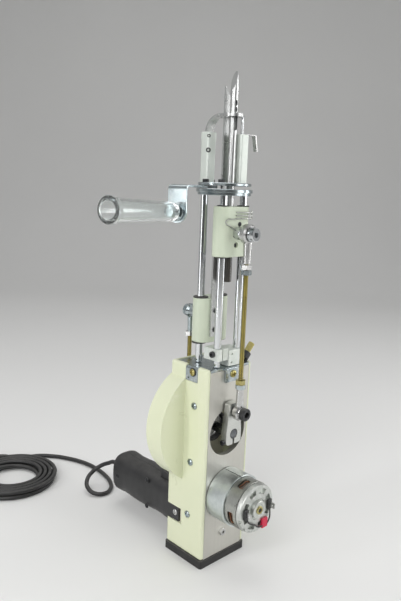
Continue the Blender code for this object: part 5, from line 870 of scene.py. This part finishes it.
def make_end_bell():
    """The cast end bell with its boss, slots, brush windows, terminals and red sleeve."""
    bell = turned("end_bell_cast", [(0, 0), (0.0202, 0), (0.0202, 0.0036), (0.0197, 0.0043), (0.0188, 0.0045),
        (0.0090, 0.0045), (0.0088, 0.0039), (0.0078, 0.0039), (0.0075, 0.0045), (0.0075, 0.0071), (0.0071, 0.0075),
        (0.0050, 0.0075), (0.0046, 0.0070), (0, 0.0070)], 96)
    on_axis(bell, -0.0546, MOTOR_HEIGHT, FRONT)
    for i in range(8):
        place = on_bell(-0.0585, TAU * (i + 0.5) / 8)
        if i % 4 in (0, 3):
            outline = rounded_box(0.0118, -0.0030, 0.0168, 0.0030, 0.0006)
        else:
            outline = arc(0, 0, 0.0172, -14, 14, 8) + arc(0, 0, 0.0128, 14, -14, 8)
        cut(bell, settle(flat("slot", outline, 0.004), place @ Matrix.Translation((0, 0, -0.0022))))
    for turn in (195, 222, 246, 262, 292, 318):
        notch = flat("notch", rounded_box(0.0186, -0.0014, 0.0230, 0.0014, 0.0006), 0.006)
        cut(bell, settle(notch, on_bell(-0.0570, math.radians(turn))))
    dress(bell, "bell", "motor_end_cap")
    bush = turned("boss_bush", [(0.0020, 0), (0.0034, 0), (0.0034, 0.0007), (0.0031, 0.0010), (0.0020, 0.0010),
        (0.0020, 0)], 40)
    dress(on_axis(bush, -0.0616, MOTOR_HEIGHT, FRONT), "yellow_zinc")
    shaft_end = turned("boss_shaft_end", [(0, 0), (0.0019, 0), (0.0019, 0.0003), (0.0016, 0.0006), (0, 0.0006)], 32)
    dress(on_axis(shaft_end, -0.0616, MOTOR_HEIGHT, FRONT), "black_steel")
    for side, label in SIDES:
        x = side * 0.01414
        tab = block(f"terminal_{label}", (x - 0.0004, -0.0660, 0.0597), (x + 0.0004, -0.0585, 0.0643), 0.0001, 2)
        cut(tab, bar("eye", (x - 0.002, -0.0640, MOTOR_HEIGHT), (x + 0.002, -0.0640, MOTOR_HEIGHT), 0.0007,
            sides=20))
        dress(tab, "steel")
        seat = block(f"terminal_seat_{label}", (x - 0.0022, -0.0612, 0.0577), (x + 0.0022, -0.0588, 0.0663), 0.0005)
        dress(seat, "black")
    sleeve = block("red_insulator", (0.0055, -0.0612, 0.0430), (0.0125, -0.0588, 0.0515), 0.0009)
    dress(sleeve, "red")
    left = (-0.0141, 0.0585), (-0.0105, 0.0535), (-0.0040, 0.0500), (0.0010, 0.0462), (0.0060, 0.0455)
    right = (0.0141, 0.0585), (0.0150, 0.0530), (0.0138, 0.0480), (0.0112, 0.0455)
    for label, line in (("left", left), ("right", right)):
        dress(wire(f"motor_lead_{label}", [(x, -0.0608, z) for x, z in line], 0.0006), "black")


# Crank and front connecting rod

def make_crank():
    """The split arm clamped on the shaft, square-shouldered at its tip."""
    tip = arc(0.0032, 0.1412, 0.0028, 0, 90, 6) + arc(-0.0032, 0.1412, 0.0028, 90, 180, 6)
    hub = arc(-0.0058, 0.1112, 0.0030, 180, 270, 6) + arc(0.0058, 0.1112, 0.0030, 270, 360, 6)
    outline = [(-0.0088, 0.1190), *hub, (0.0088, 0.1190), *tip]
    arm = upright("crank_arm_milled", outline, 0.006, -0.0235, ring(0, CRANK_HEIGHT, SHAFT_BORE, 40),
        ring(0, CRANK_PIN, PIN_BORE, 40))
    soften(arm, 0.0004)
    y, z = -0.0265, 0.1106
    cut(arm, block("split", (-0.0010, -0.04, 0.1), (0.0010, -0.01, 0.114)),
        bar("screw_hole", (-0.02, y, z), (0.02, y, z), 0.0015, sides=32))
    dress(arm, "aluminium", "crank_arm", body="crank")
    screw = bar("crank_clamp_screw", (-0.0090, y, z), (0.0090, y, z), 0.00135, sides=24)
    head = socket_screw("crank_clamp_head", 0.0022, 0.0020, (-0.0089, y, z), WEST)
    nut = hex_nut("crank_clamp_nut", 0.0024, 0.0016, (0.0089, y, z), EAST)
    dress(gather(screw, head, nut), "black_steel", body="crank")
    disc = upright("rear_crank_disc", ring(0, CRANK_HEIGHT, 0.0118, 64), 0.0024, 0.025,
        ring(0, CRANK_HEIGHT, SHAFT_BORE, 40))
    dress(soften(disc, 0.0003), "steel", "rear_crank", body="crank")


def rod_eye(name, radius, width, y, height, sign, shank):
    """A forged eye with its shank; sign says whether the shank points up or down."""
    half, bore = width / 2, PIN_BORE
    rim = radius - 0.0012
    eye = turned(name, [(bore, -half), (bore + 0.0012, -half), (bore + 0.0016, -half + 0.0006),
        (rim, -half + 0.0006), (radius, -half + 0.0018), (radius, half - 0.0018), (rim, half - 0.0006),
        (bore + 0.0016, half - 0.0006), (bore + 0.0012, half), (bore, half), (bore, -half)], 56)
    on_axis(eye, y, height)
    neck = radius * 0.75
    stem = bar(name + "_stem", (0, y, height + sign * neck), (0, y, height + sign * (radius + shank)), width * 0.45,
        width * 0.38)
    return weld(eye, stem)


def lock_nut(name, y, z, turn, look, body):
    dress(hex_nut(name, 0.0043, 0.0038, (0, y, z), UP, turn), look, body=body)


def make_front_rod():
    """The long connecting rod: two steel eyes, lock nuts and the yellow threaded rod between them."""
    y = FRONT_ROD_Y
    upper = rod_eye("upper_rod_eye", 0.0078, 0.0076, y, FRONT_PIN, -1, 0.0155)
    dress(upper, "steel", "front_rod_upper_end", body="front_rod")
    lower = rod_eye("lower_rod_eye", 0.0065, 0.0076, y, CRANK_PIN, 1, 0.0135)
    dress(lower, "steel", "front_rod_lower_end", body="front_rod")
    rod = thread("threaded_rod", (0, y, 0.1580), (0, y, 0.2595), 0.0020)
    dress(rod, "yellow_zinc", "front_connecting_rod", body="front_rod")
    for name, z, turn, look in (("upper_lock_nut", 0.2553, 0.3, "steel"), ("middle_lock_nut", 0.2510, 0.8, "zinc"),
            ("lower_lock_nut", 0.1573, 0.5, "zinc"), ("second_lock_nut", 0.1612, 0.1, "yellow_zinc")):
        lock_nut(name, y, z, turn, look, "front_rod")
    pin = socket_screw("crank_pin_head", 0.0052, 0.0046, (0, -0.0383, CRANK_PIN), FRONT, 0.3)
    weld(pin, bar("crank_pin_shank", (0, -0.0384, CRANK_PIN), (0, -0.0304, CRANK_PIN), 0.003))
    dress(pin, "black_steel", "front_crank_pin", body="front_rod")


def make_rear_rod():
    y = REAR_ROD_Y
    rod = rod_eye("rear_rod_forged", 0.0062, 0.0056, y, REAR_PIN, -1, 0.0125)
    low = rod_eye("rear_rod_low", 0.0062, 0.0056, y, REAR_CRANK_PIN, 1, 0.0125)
    pin = shift(socket_screw("rear_pin", 0.0046, 0.0012, (0, 0, 0), BACK), 0, 0.0311, REAR_CRANK_PIN)
    dress(gather(rod, low, pin), "zinc", "rear_connecting_rod", body="rear_rod")
    dress(thread("rear_threaded_rod", (0, y, 0.1270), (0, y, 0.1945), 0.0020), "yellow_zinc", body="rear_rod")
    lock_nut("rear_top_nut", y, 0.1900, 0.3, "steel", "rear_rod")
    lock_nut("rear_low_nut", y, 0.1300, 0.6, "steel", "rear_rod")


# Sliders, needle and knife

def slider(name, front, back, base, height, row, *holes):
    """A nylon block with round sides and bores for its row of rods."""
    radius, middle = (back - front) / 2, (front + back) / 2
    half = 0.01665 - radius
    outline = arc(half, middle, radius, -90, 90, 18) + arc(-half, middle, radius, 90, 270, 18)
    bores = [ring(side * ROD_X, row, ROD_BORE, 40) for side in (-1, 1)]
    return soften(shift(flat(name, outline, height, *bores, *holes), 0, 0, base), 0.0006, 3)


def add_seals(name, radius, height, row, base, top, body):
    """The rubber rings on a slider's four rod holes."""
    for side, label in SIDES:
        for z, end, way in ((top, "top", UP), (base, "base", -UP)):
            seal = washer(f"{name}_{label}_{end}", radius, 0.0032, height, (side * ROD_X, row, z), way)
            dress(seal, "rubber", body=body)


def make_needle_slider():
    body = slider("needle_slider_turned", -0.0229, -0.0069, 0.264, 0.0397, FRONT_RODS,
        ring(0, NEEDLE_Y, 0.0035, 40))
    cut(body, bar("screw_pocket", (-0.001, -0.03, 0.2735), (-0.001, -0.0213, 0.2735), 0.0024))
    dress(body, "nylon", "needle_slider", body="needle_carriage")
    for i, (x, z) in enumerate(((-0.001, 0.2735), (0.002, 0.290), (-0.003, 0.281))):
        at = (x, -0.0213 if i == 0 else -0.0229, z)
        dress(cross_screw(f"slider_screw_{i}", 0.0018, 0.0009, at, FRONT, 0.4 * i), "black_steel",
            body="needle_carriage")
    add_seals("rod_seal", 0.0049, 0.0008, FRONT_RODS, 0.264, 0.3037, "needle_carriage")
    for i in range(3):
        z = 0.2945 + 0.0024 * i
        loop = [(x, -0.0235 - 0.0006 * (1 - abs(x - 0.006) / 0.009), z)
            for x in (-0.003, 0, 0.003, 0.006, 0.009, 0.012, 0.015)]
        dress(wire(f"spring_loop_{i}", [*loop, (0.0155, -0.0232, z + 0.0012)], 0.0005), "can",
            body="needle_carriage")
    clip = [(0.0025, -0.0234, 0.2945), (-0.005, -0.0236, 0.2940), (-0.0135, -0.0234, 0.2932),
        (-0.0145, -0.0233, 0.2915), (-0.0095, -0.0236, 0.2885), (-0.003, -0.0236, 0.2850),
        (0.0005, -0.0235, 0.2815), (0.003, -0.0233, 0.279)]
    dress(wire("tension_clip", clip, 0.00048), "can", body="needle_carriage")
    stud = turned("needle_stud", [(0, 0), (0.0052, 0), (0.0052, 0.0055), (0.0048, 0.0063), (0.003, 0.0063),
        (0.003, 0.0151), (0.0058, 0.0151), (0.0058, 0.0157), (0.0052, 0.0157), (0.0052, 0.0193), (0.0047, 0.0197),
        (0, 0.0197)], 48)
    on_axis(stud, -0.0232, FRONT_PIN, FRONT)
    key = bar("key", (0, -0.05, FRONT_PIN), (0, -0.0405, FRONT_PIN), 0.0026, sides=6)
    dress(cut(stud, key), "chrome", "needle_slider_stud", body="needle_carriage")


def make_needle():
    """The hollow needle, ground to a slanted point, with its slots and its thread window."""
    tube = turned("needle_ground", [(0, 0.3870), (0.0023, 0.3870), (0.0023, 0.274), (0.0032, 0.274),
        (0.0032, 0.3930), (0.0029, 0.3990), (0.0022, 0.4040), (0.0015, 0.4065), (0, 0.4065)], 56)
    shift(tube, 0, NEEDLE_Y, 0)
    bevel = [(-0.0060, 0.3890), (-0.0060, 0.4090), (0.0016, 0.4090), (0.0012, 0.4064), (0.0002, 0.4035),
        (-0.0014, 0.3985), (-0.0027, 0.3940), (-0.0034, 0.3900)]
    cut(tube, upright("bevel", bevel, 0.012, NEEDLE_Y + 0.006))
    for low, high, wide in ((0.3812, 0.3840, 0.0008), (0.3764, 0.3788, 0.0008), (0.3636, 0.3730, 0.0015)):
        outline = arc(-0.0006, low, wide, 180, 360, 8) + arc(-0.0006, high, wide, 0, 180, 8)
        cut(tube, upright("slot", outline, 0.004, -0.0140))
    dress(mend(tube), "ground", "needle", body="needle_carriage")
    hose = turned("yarn_hose", [(0.0021, 0.243), (0.0037, 0.243), (0.0040, 0.2433), (0.0040, 0.2634),
        (0.0032, 0.2637), (0.0032, 0.2737), (0.0021, 0.2737), (0.0021, 0.243)], 40)
    dress(shift(hose, 0, NEEDLE_Y, 0), "hose", "yarn_tube", body="needle_carriage")


def make_knife():
    """The flat steel knife with its curved edge, on its wide carrier."""
    tip = arc(-0.0029, 0.3855, 0.0058, 0, 60, 10)
    outline = [(-0.0091, 0.1965), (0.0029, 0.1965), *tip, (-0.0012, 0.3936), (-0.0023, 0.3955), (-0.0029, 0.3953),
        (-0.0029, 0.2678), *arc(-0.0071, 0.2640, 0.0020, 60, 180, 8)]
    dress(soften(upright("knife_blade", outline, 0.0016, -0.0048), 0.0003), "ground", "knife_bar",
        body="knife_carriage")


def make_knife_slider():
    body = slider("knife_slider_turned", -0.0045, 0.0135, 0.1911, 0.0372, REAR_RODS)
    dress(body, "nylon", "knife_slider", body="knife_carriage")
    add_seals("knife_seal", 0.0062, 0.0010, REAR_RODS, 0.1911, 0.2283, "knife_carriage")
    for i, z in enumerate((0.2020, 0.2180)):
        screw = socket_screw(f"knife_screw_{i}", 0.0022, 0.0014, (-0.0040, -0.0064, z), FRONT, 0.4 * i)
        dress(screw, "black_steel", body="knife_carriage")
    stud = turned("knife_stud", [(0, 0), (0.0052, 0), (0.0050, 0.0115), (0.003, 0.0115), (0.003, 0.0174),
        (0.0052, 0.0174), (0.0052, 0.0192), (0.0048, 0.0197), (0, 0.0197)], 48)
    on_axis(stud, 0.0138, REAR_PIN)
    key = bar("key", (0, 0.0325, REAR_PIN), (0, 0.05, REAR_PIN), 0.0024, sides=6)
    dress(cut(stud, key), "zinc", "knife_slider_stud", body="knife_carriage")


# Ring plate, posts, presser foot and yarn hook

def passage(radius, steps):
    """The outline round needle and knife: two half circles with straight sides between them."""
    return (arc(0, PASSAGE_FRONT + PASSAGE_HALF, radius, 180, 360, steps)
        + arc(0, -PASSAGE_HALF, radius, 0, 180, steps))


def needle_passage(low, high):
    """The slot for needle and knife, as a cutter."""
    return shift(flat("needle_passage", passage(PASSAGE_HALF, 16), high - low), 0, 0, low)


def make_ring():
    disc = turned("ring_plate_turned", [(0, 0.312), (0.0211, 0.312), (0.0214, 0.3123), (0.0214, 0.3142),
        (0.0223, 0.3142), (0.0226, 0.3145), (0.0226, 0.3166), (0.0223, 0.3169), (0, 0.3169)], 96)
    shift(disc, *RING_CENTRE)
    sockets = [bar("socket", (side * ROD_X, y, 0.30), (side * ROD_X, y, 0.3145), ROD_BORE)
        for side in (-1, 1) for y in (FRONT_RODS, REAR_RODS)]
    cut(disc, needle_passage(0.30, 0.33), *sockets)
    dress(disc, "zinc", "ring_plate")
    cap = turned("ring_cap_turned", [(0, 0.3195), (0.0211, 0.3195), (0.0214, 0.3198), (0.0214, 0.3213),
        (0.0210, 0.3217), (0, 0.3217)], 96)
    shift(cap, *RING_CENTRE)
    dress(cut(cap, needle_passage(0.31, 0.33)), "zinc", "ring_cap")
    for i, (x, y) in enumerate(((-0.0125, -0.0150), (0.0160, -0.0030), (-0.0160, -0.0010), (0.0030, 0.0115))):
        dress(socket_screw(f"ring_screw_{i}", 0.0026, 0.0026, (x, y, 0.3217), UP, 0.3 * i), "black_steel")


def make_posts():
    """The three square posts, their corners rounded, with two screws on a corner of the left one."""
    for solid, x, y, side, height in (("left_post", -0.0062, 0.0076, 0.009, 0.0388),
            ("rear_post", 0.0122, 0.0028, 0.0074, 0.0362), ("right_post", 0.0082, -0.0149, 0.0088, 0.0375)):
        half = side / 2
        post = flat(solid + "_shaft", rounded_box(x - half, y - half, x + half, y + half, 0.0018), height)
        shift(post, 0, 0, POST_BASE)
        if solid == "left_post":
            weld(post, block("head", (x - half, y - half, 0.3542), (x + half, y + half, 0.3614), 0.0009))
        dress(soften(post, 0.0004), "anodised", solid)
    corner = Vector((-0.69, -0.72, 0))
    for i, (z, radius) in enumerate(((0.3580, 0.0014), (0.3470, 0.0019))):
        at = Vector((-0.0062, 0.0076, z)) + corner * 0.0050
        dress(socket_screw(f"post_screw_{i}", radius, 0.0010, at, corner), "rubber")


def make_presser_foot():
    """The eye round the needle, the arched strip to the left post and the bright rod to the right one."""
    eye = shift(flat("presser_eye", passage(0.0082, 20), 0.0024, passage(PASSAGE_HALF, 20)), 0, 0, 0.3723)
    start, reach, rise = Vector((-0.0012, 0.0084, 0.3602)), 0.0135, 0.0133
    profile = []
    for half, order in ((0.0007, 1), (-0.0007, -1)):
        curve = [(reach - (reach + half) * math.cos(a), (rise + half) * math.sin(a))
            for a in (math.pi / 2 * i / 20 for i in range(21))]
        profile += curve[::order]
    weld(eye, settle(flat("strip", profile, 0.0080), drawn_on(start, FRONT, UP)))
    cut(eye, needle_passage(0.36, 0.39))
    soften(eye, 0.0002)
    dress(eye, "ground", "presser_foot")
    brace = wire("presser_brace", [(0.0082, -0.0149, 0.3598), (0.0082, -0.0149, 0.3645), (0.0082, -0.0149, 0.3697),
        (0.0079, -0.0146, 0.3728), (0.0069, -0.0139, 0.3736)], 0.0011, sides=5)
    dress(brace, "chrome")
    outline = [(0.0125, 0.3535), (0.0135, 0.3535), (0.0135, 0.3585), *arc(0.0145, 0.3585, 0.001, 180, 90, 4),
        (0.0222, 0.3595), (0.0250, 0.3475), (0.0260, 0.3475), *arc(0.0228, 0.3595, 0.001, 20, 90, 4),
        (0.0130, 0.3605), (0.0125, 0.3600)]
    hook = upright("yarn_hook_strip", outline, 0.0036, -0.0130)
    dress(soften(hook, 0.0002), "steel", "yarn_hook")


# Side handle

def arm_place():
    """The bracket's own frame: X runs from the handle towards the ring, Z is height."""
    return Matrix.Translation((-0.0497, -0.0055, 0)) @ Matrix.Rotation(math.radians(14), 4, "Z")


def handle_place():
    """The bolt's frame: the bracket's, tilted a little, with Z along the bolt towards the open end."""
    centre = Matrix.Translation((0, 0, HANDLE_HEIGHT))
    return (arm_place() @ centre @ Matrix.Rotation(math.radians(1.4), 4, "Y")
        @ Matrix.Rotation(math.radians(-90), 4, "Y"))


def make_handle():
    """The bent strip with its bolt, and the clear tube with its flanged open end."""
    profile = [(0.002, 0.2902), *arc(0.0042, 0.3150, 0.0022, 180, 90, 8), (0.0445, 0.3172), (0.0445, 0.3192),
        *arc(0.0042, 0.3150, 0.0042, 90, 180, 12), (0, 0.2902)]
    strap = upright("handle_strap", profile, 0.017, 0.0085)
    outline = arc(0, HANDLE_HEIGHT, 0.0085, 180, 360, 32) + [(0.0085, 0.33), (-0.0085, 0.33)]
    rounded = settle(flat("round_end", outline, 0.12), drawn_on((0.06, 0, 0), FRONT, UP))
    shape(strap, "INTERSECT", rounded)
    soften(strap, 0.0003)
    cut(strap, bar("bolt_hole", (-0.01, 0, HANDLE_HEIGHT), (0.01, 0, HANDLE_HEIGHT), 0.0028))
    dress(settle(strap, arm_place()), "zinc", "handle_bracket")
    bolt = hex_nut("handle_bolt_head", 0.0046, 0.0035, (0, 0, -0.0058), UP, 0.2)
    shank = thread("bolt_shank", (0, 0, -0.0050), (0, 0, 0.0119), 0.0025)
    plain = washer("bolt_washer", 0.0068, 0.0020, 0.0015, (0, 0, 0.0003), UP)
    nut = hex_nut("bolt_nut", 0.0046, 0.0035, (0, 0, 0.0018), UP, 0.5)
    last = hex_nut("inner_nut", 0.0046, 0.0022, (0, 0, 0.0100), UP, 0.1)
    dress(settle(gather(bolt, shank, plain, nut, last), handle_place()), "zinc", "handle_bolt")
    tube = turned("clear_handle", [(0.0028, 0), (0.0066, 0), (0.0072, 0.0006), (0.0084, 0.0665), (0.0088, 0.0680),
        (0.0094, 0.0695), (0.0094, 0.0719), (0.0088, 0.0725), (0.0066, 0.0725), (0.0062, 0.0721), (0.0050, 0.0048),
        (0.0046, 0.0044), (0.0028, 0.0044), (0.0028, 0)], 64)
    settle(tube, handle_place() @ Matrix.Translation((0, 0, 0.0056)))
    dress(tube, "acrylic", "side_handle")


# Grip, trigger and cord ends

GRIP_SWELL = (0.98, 1.0, 0.97, 0.93, 0.93, 0.96, 0.99, 1.0, 1.0, 0.98, 0.97, 1.0, 1.04)


def grip_body(name, wall):
    """The grip as one form: a rounded section, extruded along the grip and resized at each step."""
    sections = 36
    points = []
    for i in range(56):
        c, s = math.cos(TAU * i / 56), math.sin(TAU * i / 56)
        points.append((math.copysign(abs(c) ** (2 / 3), c), math.copysign(abs(s) ** (2 / 3), s)))

    def swell(i):
        along = (len(GRIP_SWELL) - 1) * i / sections
        step = min(int(along), len(GRIP_SWELL) - 2)
        ease = along - step
        ease = ease * ease * (3 - 2 * ease)
        return GRIP_SWELL[step] * (1 - ease) + GRIP_SWELL[step + 1] * ease

    def half_sizes(i):
        edge = 0.0012 * (1 - min(i, sections - i, 2) / 2) ** 2
        return 0.016 * swell(i) - wall - edge, 0.019 * swell(i) - wall - edge

    start, length = 0.0226 + wall, 0.0955 - 2 * wall
    wide, high = half_sizes(0)
    piece = new_piece(name)
    trace([(x * wide, start, GRIP_HEIGHT + z * high) for x, z in (*points, points[0])])
    merge_all()
    bpy.ops.mesh.edge_face_add()
    for i in range(1, sections + 1):
        extrude(0, length / sections, 0)
        new_wide, new_high = half_sizes(i)
        bpy.ops.transform.resize(value=(new_wide / wide, 1, new_high / high), orient_type="GLOBAL",
            center_override=(0, start + length * i / sections, GRIP_HEIGHT))
        wide, high = new_wide, new_high
    close_up()
    return piece


def make_grip():
    grip = grip_body("grip_shell", 0)
    cut(grip, grip_body("inside", 0.0025), block("neck", (-0.0103, 0.02, 0.030), (0.0103, 0.0271, 0.044)),
        block("window", (-0.0063, 0.0327, 0.0405), (0.0063, 0.0553, 0.06)),
        bar("cord_hole", (0, 0.11, GRIP_HEIGHT), (0, 0.13, GRIP_HEIGHT), 0.0033))
    left, right = halve(grip, "grip_shell_left", "grip_shell_right", (0, 0), (0.2, 0.1))
    dress(left, "black", "grip_left", angle=30)
    dress(right, "black", "grip_right", angle=30)
    for i, (y, z, swell) in enumerate(((0.029, 0.022, 0.95), (0.064, 0.018, 0.935), (0.064, 0.044, 0.935),
            (0.110, GRIP_HEIGHT, 0.985))):
        dress(cross_screw(f"grip_screw_{i}", 0.0024, 0.0010, (-0.0160 * swell, y, z), WEST, 0.5 * i), "black_steel")
    mount = block("grip_mount_moulded", (-0.0254, 0.0078, 0.0303), (0.0254, 0.0193, 0.0437), 0.0004)
    weld(mount, block("neck", (-0.010, 0.015, 0.0303), (0.010, 0.0296, 0.0437)),
        block("cheek_left", (-0.0254, 0.015, 0.0303), (-0.0217, 0.0217, 0.0437)),
        block("cheek_right", (0.0217, 0.015, 0.0303), (0.0254, 0.0217, 0.0437)))
    dress(mount, "black", "grip_mount")
    points = [(0.033 + 0.022 * i / 24, 0.0572 - 0.0029 * math.sin(math.pi * i / 24)) for i in range(25)]
    pad = flat("trigger_pad", [(0.033, 0.0442), (0.055, 0.0442), *points[::-1]], 0.012)
    settle(pad, drawn_on((-0.006, 0, 0), BACK, UP))
    soften(pad, 0.0009, 3, 50)
    weld(pad, block("flange", (-0.0074, 0.0316, 0.0428), (0.0074, 0.0564, 0.0448)))
    dress(pad, "black", "trigger", body="finger_trigger")


def make_cord_ends():
    profile = [(0, 0), (0.003, 0), (0.003, 0.0028), (0.0055, 0.0028), (0.0058, 0.0031), (0.0058, 0.0058)]
    for i in range(5):
        radius = 0.0055 - 0.00052 * (i + 1)
        low = 0.0060 + 0.0023 * i
        profile += [(radius - 0.0006, low), (radius - 0.0006, low + 0.0009), (radius, low + 0.0011),
            (radius, low + 0.0021)]
    gland = turned("strain_relief", profile + [(0.0027, 0.0177), (0, 0.0177)], 48)
    on_axis(gland, 0.1156, GRIP_HEIGHT)
    dress(gland, "rubber", "cord_gland")


def make_plug(points):
    """The moulded plug with its ribbed tail and hollow barrel."""
    direction = (points[-2] - points[-3]).normalized()
    at = points[-2] + direction * 0.0003
    body = [(0, 0), (0.0026, 0), (0.0028, 0.0008)]
    for i in range(4):
        low = 0.0014 + 0.0022 * i
        radius = 0.0031 + 0.00018 * i
        body += [(radius - 0.0004, low), (radius - 0.0004, low + 0.0008), (radius, low + 0.0010),
            (radius, low + 0.0020)]
    body += [(0.0052, 0.0130), (0.0052, 0.0254), (0.0046, 0.026), (0, 0.026)]
    plug = turned("power_plug", body, 48)
    barrel = turned("barrel", [(0.0011, 0.0255), (0.00275, 0.0255), (0.00275, 0.0352), (0.0025, 0.0355),
        (0.0011, 0.0355), (0.0011, 0.0255)], 40)
    dress(settle(plug, facing(at, direction)), "rubber", "cord_plug")
    dress(settle(barrel, facing(at, direction)), "chrome")
    return barrel


# Thumb screw

def make_thumb_screw():
    lean = Vector((math.cos(math.radians(48)), 0, math.sin(math.radians(48))))
    base = Vector((0.0212, -0.0185, 0.1792))
    collar = bar("thumb_collar", base - lean * 0.003, base + lean * 0.003, 0.0043)
    soften(collar, 0.0005)
    weld(collar, block("stand", (0.0202, -0.0201, 0.1735), (0.0224, -0.0169, 0.1803)))
    cut(collar, bar("bore", base - lean * 0.008, base + lean * 0.008, 0.0019))
    dress(collar, "black", "thumb_screw_collar")
    outline = []
    for i in range(44):
        radius, turn = 0.0027 - 0.0003 * (i % 2), TAU * i / 44
        outline.append((radius * math.cos(turn), radius * math.sin(turn)))
    head = settle(flat("thumb_screw_knurled", outline, 0.0090), facing(base + lean * 0.0030, lean))
    shank = bar("shank", base - lean * 0.006, base + lean * 0.0040, 0.0015, sides=32)
    dress(weld(head, shank), "yellow_zinc", "thumb_screw")


bpy.context.scene.view_settings.view_transform = "Standard"
set_camera()
make_cord()
set_stage()
set_light()
dress_solids()
make_foot()
make_shells()
make_shell_screws()
make_front_plate()
make_bracket()
make_rod_blocks()
make_rods()
make_bearing()
make_motor()
make_end_bell()
make_crank()
make_front_rod()
make_rear_rod()
make_needle_slider()
make_needle()
make_knife()
make_knife_slider()
make_ring()
make_posts()
make_presser_foot()
make_handle()
make_grip()
make_cord_ends()
make_thumb_screw()
